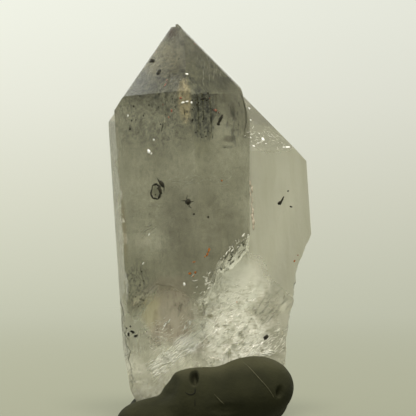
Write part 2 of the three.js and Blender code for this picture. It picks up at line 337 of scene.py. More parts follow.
def facets(x, y, size, seed, tilt):
    """Over each scattered point a plane: a slope of up to tilt both ways times the offset, and a jump."""
    dx, dy, i, j = nearest_point(x, y, size, seed)
    slope_x = (scatter(i + FACET_SEEDS[0], j - seed) - 0.5) * 2 * tilt
    slope_y = (scatter(j + FACET_SEEDS[1], i + seed) - 0.5) * 2 * tilt
    jump = (scatter(i + FACET_SEEDS[2], j + FACET_SEEDS[3]) - 0.5) * tilt * size * FACET_JUMP
    return slope_x * dx + slope_y * dy + jump


def smooth_step(low, high, value):
    """0 below low, 1 above high, and 3 s s - 2 s s s between them."""
    share = np.clip((value - low) / (high - low), 0.0, 1.0)
    return share * share * (3 - 2 * share)


def lines(start, end, cell):
    """Even places from start to end, as near to a cell apart as a whole number of steps allows."""
    return np.linspace(start, end, max(int(round((end - start) / cell)), 1) + 1)


def relief_block(name, face, level, up, height_at, finish="broken"):
    """A block outside a face. Its near side is a grid at height_at(level, up) outside the face."""
    along, above = np.meshgrid(level, up, indexing="xy")
    height = height_at(along, above)
    spot = along[..., None] * face["level"] + above[..., None] * face["up"]
    near = spot + (height + face["distance"])[..., None] * face["out"]
    far = spot + (face["distance"] + CUTTER_DEPTH) * face["out"]
    rows, columns = along.shape
    number = np.arange(rows * columns).reshape(rows, columns)
    ring = np.concatenate([number[0, :-1], number[:-1, -1], number[-1, :0:-1], number[:0:-1, 0]])
    quads = grid_faces(rows, columns)
    near_faces = np.concatenate([quads[:, [0, 1, 2]], quads[:, [0, 2, 3]]])
    outer = rows * columns + np.arange(len(ring))
    walls = np.stack([ring, outer, np.roll(outer, -1), np.roll(ring, -1)], axis=1)
    points = np.concatenate([near.reshape(-1, 3), far.reshape(-1, 3)[ring]])
    return closed_solid(name, points, [*near_faces, *walls, outer], finish)


# %% [markdown]
# ## The front individual
#
# It is stout and smoky, and its lower end is broken off along a slant that shows as a bright, stepped
# edge across the whole crystal. The height of that break is a list of places read from left to right,
# falling towards the back, with hollows and facets on it. On the left the real break is a smooth,
# quiet surface, so the relief is weaker there. The edges of the point are worn: a narrow face
# takes a few hundredths of a millimetre off each.

# %% The front individual, broken off below
FRONT_BREAK = np.array([
    (-9, 8.4), (-6.4, 9.6), (-4.5, 11.3), (-3.5, 12.1), (-1.9, 11.7), (0.3, 10), (1.4, 10.3),
    (1.9, 11.6), (2.7, 13.3), (4.3, 14.8), (5.9, 16.6), (9, 17.8),
])
FRONT_BREAK_SLOPE = 0.6
FRONT_BREAK_START = -4.5
FRONT_HOLLOW_HEIGHT, FRONT_HOLLOWS = 0.9, (2.6, 3)
FRONT_FACETS = [(0.8, 21, 0.7), (0.4, 22, 0.5)]
QUIET_START, QUIET_END = (-9.0, -8.0), (-0.2, 1.6)
QUIET_SHARE = 0.15
FRONT_BREAK_ACROSS = (-9, 9)
FINE_DEPTHS, COARSE_DEPTHS = (-8, 2), (2.8, 14)
WORN_EDGES = [
    (("front_right", True), ("right", True), 0.09),
    (("front_left", True), ("front_right", True), 0.035),
    (("front_left", True), ("left", True), 0.05),
]


def front_break_height(depth, across):
    """Minus the listed height and the relief, a share of hollows + facets - fall: less where quiet."""
    quiet = smooth_step(*QUIET_START, across) - smooth_step(*QUIET_END, across)
    strength = 1 - (1 - QUIET_SHARE) * quiet
    fall = FRONT_BREAK_SLOPE * (depth - FRONT_BREAK_START)
    rough = sum(facets(across, depth, *layer) for layer in FRONT_FACETS)
    relief = FRONT_HOLLOW_HEIGHT * hollows(across, depth, *FRONT_HOLLOWS) + rough - fall
    return -(np.interp(across, *FRONT_BREAK.T) + strength * relief)


front_faces = twelve_faces(FRONT_INDIVIDUAL) + [side_face(1, *places) for places in FRONT_RIGHT_SIDE]
front_faces.append(BOTTOM_FACE)
for first, second, depth in WORN_EDGES:
    pair = [face_of(FRONT_INDIVIDUAL, *name) for name in (first, second)]
    front_faces.append(worn_edge(*pair, depth))
crystal = faceted_body("amethyst_crystal_look", front_faces, "front growth")
depth_lines = np.concatenate([lines(*FINE_DEPTHS, RELIEF_CELL), lines(*COARSE_DEPTHS, COARSE_CELL)])
across_lines = lines(*FRONT_BREAK_ACROSS, RELIEF_CELL)
front_break = relief_block("front_break", flat_face(0, -90, 0), depth_lines, across_lines, front_break_height)
combine(crystal, front_break, "DIFFERENCE")
print("front individual:", len(crystal.data.polygons), "faces")

# %% [markdown]
# ## The back individual
#
# It is wider and lower, and paler. Its prism faces are sound above and broken below, where the light
# gets lost in many small cracks. The front one on the right is the iciest part of the whole object, so
# its facets are the steepest, apart from a calm part at its right edge. Each row lists a face, the
# height up to which it is broken, how deep, the size of the hollows, a seed, how far the cut reaches
# along the face, and the tilt of the facets.

# %% The back individual, with its sides broken low down
BROKEN_LOW_FRONT = [
    ("front_right", 11.5, 0.42, 2.3, 5, (-1.6, 13.2), 0.38),
    ("front_left", 7.6, 0.25, 2.6, 9, (-7.8, 3.3), 0.16),
]
BROKEN_LOW_BACK = [
    ("back_right", 9.5, 0.9, 4.2, 13, (-9, 9), 0.2),
    ("back_left", 6.5, 0.7, 3.6, 17, (-9, 9), 0.2),
]
LOW_FACETS = [(1.1, 1, 1.0), (0.5, 2, 0.8)]
EDGE_WAVE_HEIGHT, EDGE_WAVE_TURN = 1.2, 0.9
EDGE_FADE = 3
LOWEST_CUT, ABOVE_CUT = -3, 1.5
SKIN = 0.12
CALM_PART = (3.8, 6.5)
CALM_LOSS = 0.65


def broken_low(name, top, depth, size, seed, level, tilt):
    """Outside the face above, and below the height it sinks by depth (1 - hollows), with facets."""

    def height_at(along, above):
        """The skin, less the sinking and the facets where it is broken."""
        edge = above + EDGE_WAVE_HEIGHT * np.sin(along * EDGE_WAVE_TURN + seed)
        broken = 1 - smooth_step(top - EDGE_FADE, top, edge)
        sunk = SKIN + depth * (1 - hollows(along, above, size, seed))
        calm = 1 - CALM_LOSS * smooth_step(*CALM_PART, along)
        rough = sum(facets(along, above, cell, seed + more, tilt * part) for cell, more, part in LOW_FACETS)
        return SKIN - (sunk + rough * calm) * broken

    along_lines = lines(*level, RELIEF_CELL)
    up_lines = lines(LOWEST_CUT, top + ABOVE_CUT, RELIEF_CELL)
    return relief_block(name, face_of(BACK_INDIVIDUAL, name, False), along_lines, up_lines, height_at)


back_faces = twelve_faces(BACK_INDIVIDUAL) + [side_face(-1, *places) for places in FOOT_CORNER]
back_faces.append(BOTTOM_FACE)
back = faceted_body("back_individual", back_faces, "back growth")
for row in BROKEN_LOW_FRONT:
    combine(back, broken_low(*row), "DIFFERENCE")
print("back individual:", len(back.data.polygons), "faces")

# %% [markdown]
# ## Skeletal growth
#
# Skeletal quartz grows faster along its edges than in the middle of its faces. The faces are left
# with sunk windows, whose flat floors step down in terraces, and with narrow channels by the edges.
# Windows in front are outlines of across and height, projected onto their face. The terraces behind
# repeat the outline of the face itself.

# %% Windows, channels and terraces
FRONT_WINDOWS = [
    ("front_left", True, 0.04, [(-0.85, 32.8), (1.5, 32.6), (1.5, 30.2), (-1.3, 30.2)]),
    ("front_left", False, 0.04, [(-1.3, 31), (1.6, 31), (1.6, 29.9), (0.5, 27.4), (-1.7, 27.2)]),
    ("front_left", False, 0.06, [(-0.7, 31), (0.4, 31), (0.2, 28.3), (-0.5, 27.9)]),
    ("front_right", False, 0.12, [(1.4, 30), (1.8, 30.1), (1.75, 27), (1.6, 26.3), (1.45, 27)]),
    ("front_right", False, 0.1, [(2, 30.6), (2.3, 30.6), (2.25, 27.9), (2.1, 27.4)]),
    ("front_right", False, 0.12, [(2.5, 29.7), (3, 29.8), (2.95, 26.4), (2.7, 25.6), (2.55, 26.2)]),
    ("front_right", False, 0.08, [(3.3, 30), (3.6, 30.1), (3.55, 28.5), (3.4, 28)]),
]
SUNK_FACES = [("back_right", (0.7, 0.5, 0.28), 0.2), ("back_left", (0.66, 0.4), 0.22)]
NEARLY_ZERO = 1e-6


def window_block(face, outline, depth):
    """The outline, given as places on the face, carried from depth inside it to 1 mm outside."""
    outline = np.asarray(outline)
    inner, outer = outline - depth * face["out"], outline + face["out"]
    count = len(outline)
    walls = [[i, (i + 1) % count, count + (i + 1) % count, count + i] for i in range(count)]
    ends = [list(range(count)), list(range(count, 2 * count))]
    return closed_solid("window", np.concatenate([inner, outer]), [*ends, *walls], "window")


def seen_on(face, across, height, under=0.0):
    """The place on a face, or under it, that a look straight from the front meets at across, height."""
    reach = face["distance"] - under - face["out"][0] * across - face["out"][2] * height
    return np.array([across, reach / face["out"][1], height])


def face_corners(faces, chosen):
    """The corners of one face: where two others meet it, inside all the rest, in order round it."""
    corners = []
    others = [face for face in faces if face is not chosen]
    for number, first in enumerate(others):
        for second in others[number + 1:]:
            meeting = [chosen, first, second]
            normals = np.array([face["out"] for face in meeting])
            if abs(np.linalg.det(normals)) < NEARLY_ZERO:
                continue
            corner = np.linalg.solve(normals, [face["distance"] for face in meeting])
            if all(face["out"] @ corner <= face["distance"] + NEARLY_ZERO for face in others):
                corners.append(corner)
    corners = np.array(corners)
    spread = corners - corners.mean(axis=0)
    return corners[np.argsort(np.arctan2(spread @ chosen["up"], spread @ chosen["level"]))]


combine(crystal, back, "UNION")
for name, on_point, depth, outline in FRONT_WINDOWS:
    face = face_of(FRONT_INDIVIDUAL, name, on_point)
    combine(crystal, window_block(face, [seen_on(face, *place) for place in outline], depth), "DIFFERENCE")
for name, sizes, step in SUNK_FACES:
    faces = twelve_faces(FRONT_INDIVIDUAL)
    chosen = faces[len(PRISM_FACES) + PRISM_FACES.index(name)]
    corners = face_corners(faces, chosen)
    middle = corners.mean(axis=0)
    for number, size in enumerate(sizes):
        terrace = middle + (corners - middle) * size
        combine(crystal, window_block(chosen, terrace, step * (number + 1)), "DIFFERENCE")
print("with windows:", len(crystal.data.polygons), "faces")

# %% [markdown]
# ## The broken right side, foot, back and tip
#
# The right side is the long outline that falls from the shoulder to the putty. It was broken, then
# dulled a little. The foot is hidden in the putty and only has to be plausible. The tip has lost a
# chip on its left.

# %% Break the sides, the foot and the tip
RIGHT_BREAK = np.array([
    (-3, 8.2), (0, 8.5), (5.2, 9.15), (8.1, 9.74), (9.1, 10.1), (11.75, 10.5), (13.5, 11.16), (14.6, 11.76),
    (15.75, 12.33), (17.2, 13.2),
])
RIGHT_SOUND = (14, 17)
RIGHT_SCOOPS, SCOOP_DEPTH, SCOOP_START = (4.2, 11), 0.9, (4, 8)
RIGHT_FACETS_OUT, RIGHT_FACETS_IN, FACETS_FROM = (1.1, 31, 0.16), (0.45, 32, 0.14), 0.12
RIGHT_DEPTHS, RIGHT_HEIGHTS = (-3, 13), (-3, 19)
FOOT_HEIGHT = -0.7
FOOT_HOLLOWS, FOOT_HOLLOW_HEIGHT = (5, 7), 1.2
FOOT_BACK, FOOT_BACK_RISE = 8, 0.35
FOOT_DEPTHS, FOOT_ACROSS = (-8, 15), (-10, 15)
CHIP_HEIGHT = 37.5
CHIP_SIDES = [(0, 0, 0), (180, 0, 4), (0, -90, -CHIP_HEIGHT), (0, 90, 40), (90, 0, 4), (270, 0, 4)]


def right_break_height(depth, height):
    """How far right the break is at each height, scooped inwards towards the back, with facets."""
    low_down = 1 - smooth_step(*RIGHT_SOUND, height)
    towards_back = smooth_step(*SCOOP_START, depth)
    scoops = SCOOP_DEPTH * (1 - hollows(depth, height, *RIGHT_SCOOPS)) * low_down * towards_back
    rough = FACETS_FROM - facets(depth, height, *RIGHT_FACETS_OUT) + facets(depth, height, *RIGHT_FACETS_IN)
    return np.interp(height, *RIGHT_BREAK.T) - scoops - np.maximum(rough, 0) * low_down


def foot_break_height(depth, across):
    """Minus the foot's height plus its hollows, which rises towards the back."""
    missing_at_back = np.maximum(depth - FOOT_BACK, 0) * FOOT_BACK_RISE
    return -(FOOT_HEIGHT + FOOT_HOLLOW_HEIGHT * hollows(across, depth, *FOOT_HOLLOWS) + missing_at_back)


right_lines = [lines(*RIGHT_DEPTHS, RELIEF_CELL), lines(*RIGHT_HEIGHTS, RELIEF_CELL)]
foot_lines = [lines(*FOOT_DEPTHS, FOOT_CELL), lines(*FOOT_ACROSS, FOOT_CELL)]
cutters = [
    relief_block("right_break", flat_face(0, 0, 0), *right_lines, right_break_height),
    relief_block("foot_break", flat_face(0, -90, 0), *foot_lines, foot_break_height),
    *[broken_low(*row) for row in BROKEN_LOW_BACK],
    faceted_body("chip", [flat_face(*side) for side in CHIP_SIDES], "broken"),
    faceted_body("tip_block", [flat_face(0, -90, -TIP_HEIGHT)], "broken"),
]
for cutter in cutters:
    combine(crystal, cutter, "DIFFERENCE")
print("whole crystal:", len(crystal.data.polygons), "faces")

# %% [markdown]
# ## Into the part's frame
#
# The crystal is moved into the part once, as a whole array. Growth faces are shaded flat. The broken
# parts are shaded smooth, but split at every edge sharper than 28 degrees, so each little facet keeps
# its own glint and the hollows stay round. The stand-in materials turn into one number for each face:
# a clear solid must have one material all over, or light that goes in would never come out right.
# Three faces of the front individual get a number of their own, so that a tone can end at their edge;
# on the two faces of the point that tone is a painted shade.

# %% Place, shade and mark the crystal
SHARP_EDGE = math.radians(28)
SAME_WAY = 0.9999
MARKED_FACES = {
    "point_left": ("front_left", True),
    "point_right": ("front_right", True),
    "side_right": ("front_right", False),
}
crystal_mesh = crystal.data
normals = np.empty(3 * len(crystal_mesh.polygons), np.float32)
crystal_mesh.polygons.foreach_get("normal", normals)
normals = normals.reshape(-1, 3)
crystal_mesh.vertices.foreach_set("co", stand(places_of(crystal_mesh)).ravel())
finish_number = np.empty(len(crystal_mesh.polygons), np.int32)
crystal_mesh.polygons.foreach_get("material_index", finish_number)
finish_names = [finish.name for finish in crystal_mesh.materials]
crystal_mesh.polygons.foreach_set("use_smooth", finish_number == finish_names.index("broken"))
crystal_mesh.set_sharp_from_angle(angle=SHARP_EDGE)
shares = {origin.replace(" ", "_"): finish_number == finish_names.index(origin) for origin in ORIGINS}
for name, place in MARKED_FACES.items():
    shares[name] = normals @ face_of(FRONT_INDIVIDUAL, *place)["out"] > SAME_WAY
for name, share in shares.items():
    attribute = crystal_mesh.attributes.new(name, "FLOAT", "FACE")
    attribute.data.foreach_set("value", share.astype(np.float32))
crystal_mesh.materials.clear()
crystal_mesh.update()
counts = dict(zip(finish_names, np.bincount(finish_number).tolist()))
print("crystal:", len(crystal_mesh.polygons), "faces,", counts)

# %% [markdown]
# ## Materials
#
# Colours are chosen as sRGB hex values and turned linear by one function. One more function adds a
# node with its settings and its links, and every material below is written out with it. The patterns
# are all counted in real millimetres of the crystal, so they keep their size on every face.

# %% Colours and nodes
FACTOR, NUMBER_A, NUMBER_B, COLOUR_A, COLOUR_B = 0, 2, 3, 6, 7
MIXED_COLOUR = 2
BLEND = {"data_type": "RGBA"}
DARKEN = {"data_type": "RGBA", "blend_type": "MULTIPLY"}


def linear(colour):
    """sRGB hex to linear: c / 12.92 when dark, and ((c + 0.055) / 1.055) to the power 2.4 otherwise."""
    shares = np.array([int(colour[i:i + 2], 16) for i in (0, 2, 4)]) / 255
    curved = ((shares + 0.055) / 1.055) ** 2.4
    return (*np.where(shares <= 0.04045, shares / 12.92, curved), 1.0)


def add_node(tree, kind, settings, inputs):
    """A node with its own settings. An input is a value, or the output that is linked to it."""
    made = tree.nodes.new(kind)
    for name, value in settings.items():
        setattr(made, name, value)
    for name, value in inputs.items():
        if isinstance(value, bpy.types.NodeSocket):
            tree.links.new(value, made.inputs[name])
        else:
            made.inputs[name].default_value = value
    return made


def new_material(name):
    """A material with an empty node tree, and that tree."""
    material = bpy.data.materials.new(name)
    material.use_nodes = True
    material.node_tree.nodes.clear()
    return material, material.node_tree


def crystal_millimetres(tree):
    """Object coordinates taken back to the crystal's own frame: turned by the lean, in millimetres."""
    start = FOOTPRINT_MIDDLE - np.array([0.0, 0.0, CRYSTAL_FOOT_HEIGHT])
    turned = (
        start[0] * math.cos(LEAN) + start[2] * math.sin(LEAN),
        start[1],
        start[2] * math.cos(LEAN) - start[0] * math.sin(LEAN),
    )
    coordinates = add_node(tree, "ShaderNodeTexCoord", {}, {}).outputs["Object"]
    back = {"Vector": coordinates, "Location": turned, "Rotation": (0, LEAN, 0), "Scale": (1 / MM,) * 3}
    return add_node(tree, "ShaderNodeMapping", {}, back).outputs[0]


# %% [markdown]
# ## Smoky quartz
#
# Quartz is a clear solid with an IOR of 1.544. The smoky tone lies in its whole depth, so it is an
# absorption. Real amethyst of this kind is clouded as well: fine veils and etched faces scatter the
# light, and that shows as roughness and as a share of light that never gets through. Zones differ by
# where they grew, so each is an ellipsoid in the crystal's own millimetres. A painted picture could
# hold the zones too, but it would fit one side only.
#
# A finish is a tint, the share of light that passes, and a roughness. A zone's row holds its middle,
# its half sizes, how soft its edge is, its tint, its share, the light that passes, and the roughness.
# The outlines wander by a noise, apart from those of the few zones that are marked True.

# %% The quartz material: finishes and zones
BACK_FINISH = ("d0cebc", 0.75, 0.28)
ORIGIN_FINISHES = [
    ("front_growth", "9c9a86", 0.75, 0.26),
    ("broken", "c6c4b2", 0.65, 0.07),
    ("window", "9d9b88", 0.75, 0.26),
]
ZONES = [
    ((-4.4, -2.2, 29.4), (3.0, 4.0, 3.4), 0.35, "96957f", 0.45, 0.7, 0.22),  # left of the shoulder
    ((-1.6, -2.0, 34.2), (1.9, 3.2, 2.8), 0.35, "a8a17c", 0.8, 0.8, 0.22),  # warm left face of the point
    ((3.4, -3.0, 32.8), (2.6, 3.2, 3.0), 0.3, "8b8970", 0.7, 0.85, 0.22),  # dark right face of the point
    ((0.45, -5.9, 29.9), (0.65, 2.4, 2.3), 0.35, "dccba0", 0.8, 0.6, 0.22, True),  # tan ridge
    ((2.2, -5.6, 28.2), (1.2, 1.4, 2.6), 0.35, "7c7d6f", 0.7, 0.7, 0.18),  # etched channels
    ((1.6, -5.2, 16.0), (4.8, 3.2, 5.6), 0.4, "544f3c", 0.65, 0.75, 0.26),  # smoky middle
    ((-4.8, -3.5, 22.3), (2.0, 2.4, 5.0), 0.4, "b2b09b", 0.45, 0.75, 0.26),  # paler left side
    ((4.3, -4.5, 23.0), (2.0, 2.4, 3.0), 0.4, "86846f", 0.6, 0.75, 0.26),  # right side
    ((-3.6, -4.2, 13.7), (2.6, 2.6, 1.7), 0.4, "7d7b64", 0.6, 0.75, 0.26),  # dark band over the break
    ((-4.3, -4.2, 16.4), (1.9, 2.4, 0.9), 0.5, "cfceba", 0.5, 0.6, 0.26),  # pale veil
    ((-5.9, -2.2, 11.6), (1.6, 3.0, 4.0), 0.35, "7e7d66", 0.8, 0.7, 0.15),  # left wedge
    ((-1.8, -3.4, 11.4), (3.4, 2.2, 1.3), 0.35, "857c6a", 0.9, 0.7, 0.15),  # under the break
    ((-2.2, -2.0, 8.6), (3.0, 2.6, 3.0), 0.35, "cfc0ae", 0.8, 0.55, 0.16),  # lavender part
    ((8.6, 2.6, 27.2), (3.4, 5.0, 2.8), 0.3, "bab9a6", 0.9, 0.8, 0.25),  # back's shoulder
    ((4.1, -1.5, 8.4), (4.4, 3.8, 5.6), 0.25, "f8f6e9", 1.0, 0.5, 0.1),  # icy part
    # painted shade: the grey patch in the icy part is a shadow, painted as a duller tone
    ((7.2, 0.0, 8.6), (1.9, 3.0, 1.3), 0.4, "cccab6", 0.8, 0.65, 0.1),  # grey patch in it
    ((-4.6, -1.6, 9.2), (1.4, 2.4, 1.7), 0.35, "eee2ba", 0.8, 0.5, 0.16),  # yellow glow
    ((-3.2, -2.0, 4.1), (1.2, 2.4, 0.7), 0.5, "ffffff", 0.9, 0.25, 0.1, True),  # white flake
    ((-0.9, -2.0, 5.8), (1.2, 2.4, 0.8), 0.5, "ffffff", 0.9, 0.25, 0.1, True),  # white flake
    ((2.0, 11.0, 18.0), (14.0, 5.5, 20.0), 0.2, "dfddcc", 1.0, 0.82, 0.1),  # frosted back
    ((-7.9, -1.0, 17.0), (1.3, 6.0, 16.0), 0.15, "ffffff", 1.0, 0.97, 0.04),  # clear left edge
    ((-3.5, -1.0, 2.8), (5.0, 3.8, 2.8), 0.3, "fffdea", 1.0, 0.75, 0.08),  # clear foot
]
ZONE_WANDER = 1.3
WANDER_NOISE = {"Scale": 0.45, "Detail": 5.0, "Roughness": 0.6}


def zone_share(tree, place, middle, half, soft, share=1.0):
    """share inside an ellipsoid, 0 outside: the length of (place - middle) / half, smoothed round 1."""
    shrink = {"Vector": place, "Scale": tuple(1 / h for h in half)}
    shrink["Location"] = tuple(-m / h for m, h in zip(middle, half))
    inside = add_node(tree, "ShaderNodeMapping", {}, shrink).outputs[0]
    far = add_node(tree, "ShaderNodeVectorMath", {"operation": "LENGTH"}, {0: inside}).outputs["Value"]
    edge = {"Value": far, "From Min": 1 + soft, "From Max": 1 - soft, "To Max": share}
    return add_node(tree, "ShaderNodeMapRange", {"interpolation_type": "SMOOTHSTEP"}, edge).outputs[0]


quartz, tree = new_material("smoky quartz, as grown and broken")
place = crystal_millimetres(tree)
wander = add_node(tree, "ShaderNodeTexNoise", {}, {"Vector": place, **WANDER_NOISE}).outputs["Color"]
shift = add_node(tree, "ShaderNodeVectorMath", {"operation": "SUBTRACT"}, {0: wander, 1: (0.5,) * 3})
wide = {0: shift.outputs[0], "Scale": ZONE_WANDER * 2}
wide = add_node(tree, "ShaderNodeVectorMath", {"operation": "SCALE"}, wide).outputs[0]
wandered = add_node(tree, "ShaderNodeVectorMath", {"operation": "ADD"}, {0: place, 1: wide}).outputs[0]

layers = []
for name, *finish in ORIGIN_FINISHES:
    share = add_node(tree, "ShaderNodeAttribute", {"attribute_name": name}, {}).outputs["Fac"]
    layers.append((share, *finish))
for middle, half, soft, tint, most, passing, roughness, *still in ZONES:
    share = zone_share(tree, place if still else wandered, middle, half, soft, most)
    layers.append((share, tint, passing, roughness))
colour, clear, rough = linear(BACK_FINISH[0]), *BACK_FINISH[1:]
for share, tint, passing, roughness in layers:
    tinted = {FACTOR: share, COLOUR_A: colour, COLOUR_B: linear(tint)}
    colour = add_node(tree, "ShaderNodeMix", BLEND, tinted).outputs[MIXED_COLOUR]
    cleared = {FACTOR: share, NUMBER_A: clear, NUMBER_B: passing}
    clear = add_node(tree, "ShaderNodeMix", {}, cleared).outputs[0]
    dulled = {FACTOR: share, NUMBER_A: rough, NUMBER_B: roughness}
    rough = add_node(tree, "ShaderNodeMix", {}, dulled).outputs[0]
print("quartz:", len(layers), "origins and zones")

# %% [markdown]
# ## Clouds, speckles and etching
#
# Inside its zones the real stone is never even. It has clouds of 2 to 3 mm, etched specks of 0.2 to
# 0.5 mm, and streaks and growth lines along the length or across it. Each pattern is a noise of that
# size, and it darkens the colour inside one place. A noise needs no drawing and goes on behind every
# edge. A mark is one tone at one place, and it ends at the edge of a face where a face is named.
#
# A place's row holds its middle, half sizes and softness. A pattern's row holds its place, its size
# across, in depth and in height, the noise values where it starts and is full, its tint and its share.
# A mark's row holds its face, its middle, half sizes, softness, tint and share.

# %% The quartz material: marks, patterns and the shader
PLACES = {
    "front body": ((-0.4, -4.4, 21.0), (7.8, 4.4, 13.5), 0.15),
    "back body": ((10.0, 1.0, 17.0), (5.0, 6.0, 12.0), 0.2),
    "shoulder": ((-2.2, -3.5, 29.4), (5.4, 6.0, 4.4), 0.35),
    "channels": ((2.3, -5.5, 28.2), (1.3, 1.6, 2.6), 0.35),
    "right edge": ((5.3, -4.0, 27.6), (0.9, 2.0, 2.4), 0.35),
    "point": ((-0.5, -2.5, 33.6), (6.5, 6.0, 4.6), 0.2),
    "point right": ((3.0, -3.0, 32.4), (2.6, 4.0, 3.2), 0.3),
    "left wedge": ((-5.7, -2.5, 11.4), (1.8, 3.0, 2.8), 0.35),
    "under break": ((-2.0, -2.0, 8.0), (4.4, 3.0, 4.2), 0.35),
    "ice": ((4.6, -1.5, 7.4), (4.6, 4.0, 4.6), 0.35),
    "clear foot": ((-4.2, -0.5, 4.5), (2.6, 3.0, 6.0), 0.3),
    "back side": ((0.5, 10.0, 15.0), (14.0, 7.0, 22.0), 0.2),
}
PATTERNS = [
    ("front body", (2.6, 2.6, 3.4), 0.38, 0.7, "b3b2a2", 0.6),  # wide clouds
    ("front body", (0.8, 0.8, 0.6), 0.48, 0.74, "aaa996", 0.45),  # small clouds
    ("back body", (0.9, 0.9, 5.0), 0.42, 0.7, "d6d5c5", 0.4),  # streaks along the length
    ("shoulder", (1.5, 1.5, 1.4), 0.5, 0.64, "74766a", 0.45),  # clouds
    ("shoulder", (0.6, 0.6, 0.55), 0.53, 0.64, "4c4f44", 0.65),  # etched hollows
    ("front body", (0.35, 0.35, 0.35), 0.5, 0.64, "9b9b8b", 0.35),  # specks
    ("shoulder", (0.3, 0.3, 0.3), 0.5, 0.6, "6f7164", 0.5),  # specks
    ("point", (0.3, 0.3, 0.35), 0.5, 0.6, "7c7d70", 0.5),  # specks
    ("front body", (0.5, 0.5, 2.4), 0.48, 0.7, "b0af9d", 0.3),  # streaks along the length
    ("point", (1.5, 1.5, 1.2), 0.45, 0.66, "8c8c7d", 0.6),  # clouds
    ("point", (0.5, 0.5, 0.6), 0.5, 0.66, "6f7063", 0.6),  # etched hollows
    ("point right", (0.25, 0.25, 1.8), 0.48, 0.62, "77786b", 0.6),  # streaks
    ("channels", (0.35, 0.35, 0.5), 0.44, 0.57, "31332b", 0.85),  # dark etching
    ("channels", (0.2, 0.2, 0.24), 0.48, 0.58, "24251f", 0.8),  # finer etching
    ("right edge", (0.45, 0.45, 1.2), 0.5, 0.6, "3f4036", 0.7),  # dark streaks
    ("left wedge", (0.22, 0.22, 0.3), 0.46, 0.6, "3a3c33", 0.8),  # dark specks
    ("under break", (0.9, 0.9, 1.8), 0.46, 0.64, "9c8c7e", 0.6),  # rosy clouds
    ("ice", (1.3, 1.3, 0.9), 0.54, 0.66, "b4b3a2", 0.55),  # grey patches
    ("ice", (0.8, 0.8, 0.25), 0.5, 0.66, "a7a692", 0.6),  # thin layers
    ("clear foot", (0.35, 0.35, 5.0), 0.45, 0.62, "a9a893", 0.25),  # long streaks
    ("back side", (6.0, 6.0, 0.22), 0.46, 0.6, "c3c1b0", 0.45),  # growth lines
    ("back side", (2.6, 2.6, 3.6), 0.46, 0.74, "b5b3a0", 0.5),  # wide clouds
]
MARKS = [
    # Painted shade: the first three marks darken the foot of the left face and the right face of the point,
    # and end at the faces' edges.
    ("point_left", (-4.6, -3.0, 31.4), (2.8, 4.0, 2.0), 0.5, "8d8f75", 0.9),  # foot of the left face
    ("point_right", (2.6, -3.0, 33.6), (3.0, 4.0, 4.4), 0.3, "dcdbca", 0.9),  # whole right face
    ("point_right", (5.2, -3.0, 30.9), (1.6, 3.0, 1.2), 0.5, "b0af9f", 0.8),  # its lower corner
    ("side_right", (1.9, -5.5, 27.6), (1.4, 3.0, 4.2), 0.5, "b5b4a4", 0.9),  # etched side below it
    (None, (4.6, -5.0, 25.75), (0.66, 2.0, 0.38), 0.3, "7d7364", 0.75),  # brown window
    (None, (4.45, -5.0, 24.95), (0.7, 2.0, 0.16), 0.5, "77776a", 0.5),  # its lower rim
    (None, (-2.95, -4.5, 21.05), (0.42, 2.0, 0.62), 0.25, "7c7d5c", 0.7),  # green bubble
    (None, (-0.5, -0.6, 37.0), (0.75, 2.0, 0.8), 0.4, "7c5a2a", 1.0),  # tan crust on the tip
    (None, (-6.35, -2.0, 17.5), (0.2, 3.0, 3.0), 0.5, "c0a86a", 0.6),  # tan left edge
]
PATTERN_NOISE = {"Scale": 1.0, "Detail": 4.0, "Roughness": 0.6}
ETCH_NOISE = {"Scale": 2.2, "Detail": 6.0, "Roughness": 0.7}
ETCH_STRENGTH, ETCH_DEPTH = 0.35, 0.0002
QUARTZ_IOR = 1.544
GLOSS, GLOSS_ROUGHNESS = 0.2, 0.08
SMOKE, SMOKE_DENSITY = "cdcbb0", 10.0

for face, middle, half, soft, tint, most in MARKS:
    share = zone_share(tree, place, middle, half, soft, most)
    if face:
        on_face = add_node(tree, "ShaderNodeAttribute", {"attribute_name": face}, {}).outputs["Fac"]
        share = add_node(tree, "ShaderNodeMath", {"operation": "MULTIPLY"}, {0: share, 1: on_face}).outputs[0]
    darker = {FACTOR: share, COLOUR_A: colour, COLOUR_B: linear(tint)}
    colour = add_node(tree, "ShaderNodeMix", DARKEN, darker).outputs[MIXED_COLOUR]
for where, size, low, high, tint, most in PATTERNS:
    stretched = {"Vector": place, "Scale": tuple(1 / length for length in size)}
    stretched = add_node(tree, "ShaderNodeMapping", {}, stretched).outputs[0]
    noise = add_node(tree, "ShaderNodeTexNoise", {}, {"Vector": stretched, **PATTERN_NOISE}).outputs["Fac"]
    limits = {"Value": noise, "From Min": low, "From Max": high, "To Max": most}
    share = add_node(tree, "ShaderNodeMapRange", {}, limits).outputs[0]
    inside = zone_share(tree, wandered, *PLACES[where])
    share = add_node(tree, "ShaderNodeMath", {"operation": "MULTIPLY"}, {0: share, 1: inside}).outputs[0]
    darker = {FACTOR: share, COLOUR_A: colour, COLOUR_B: linear(tint)}
    colour = add_node(tree, "ShaderNodeMix", DARKEN, darker).outputs[MIXED_COLOUR]

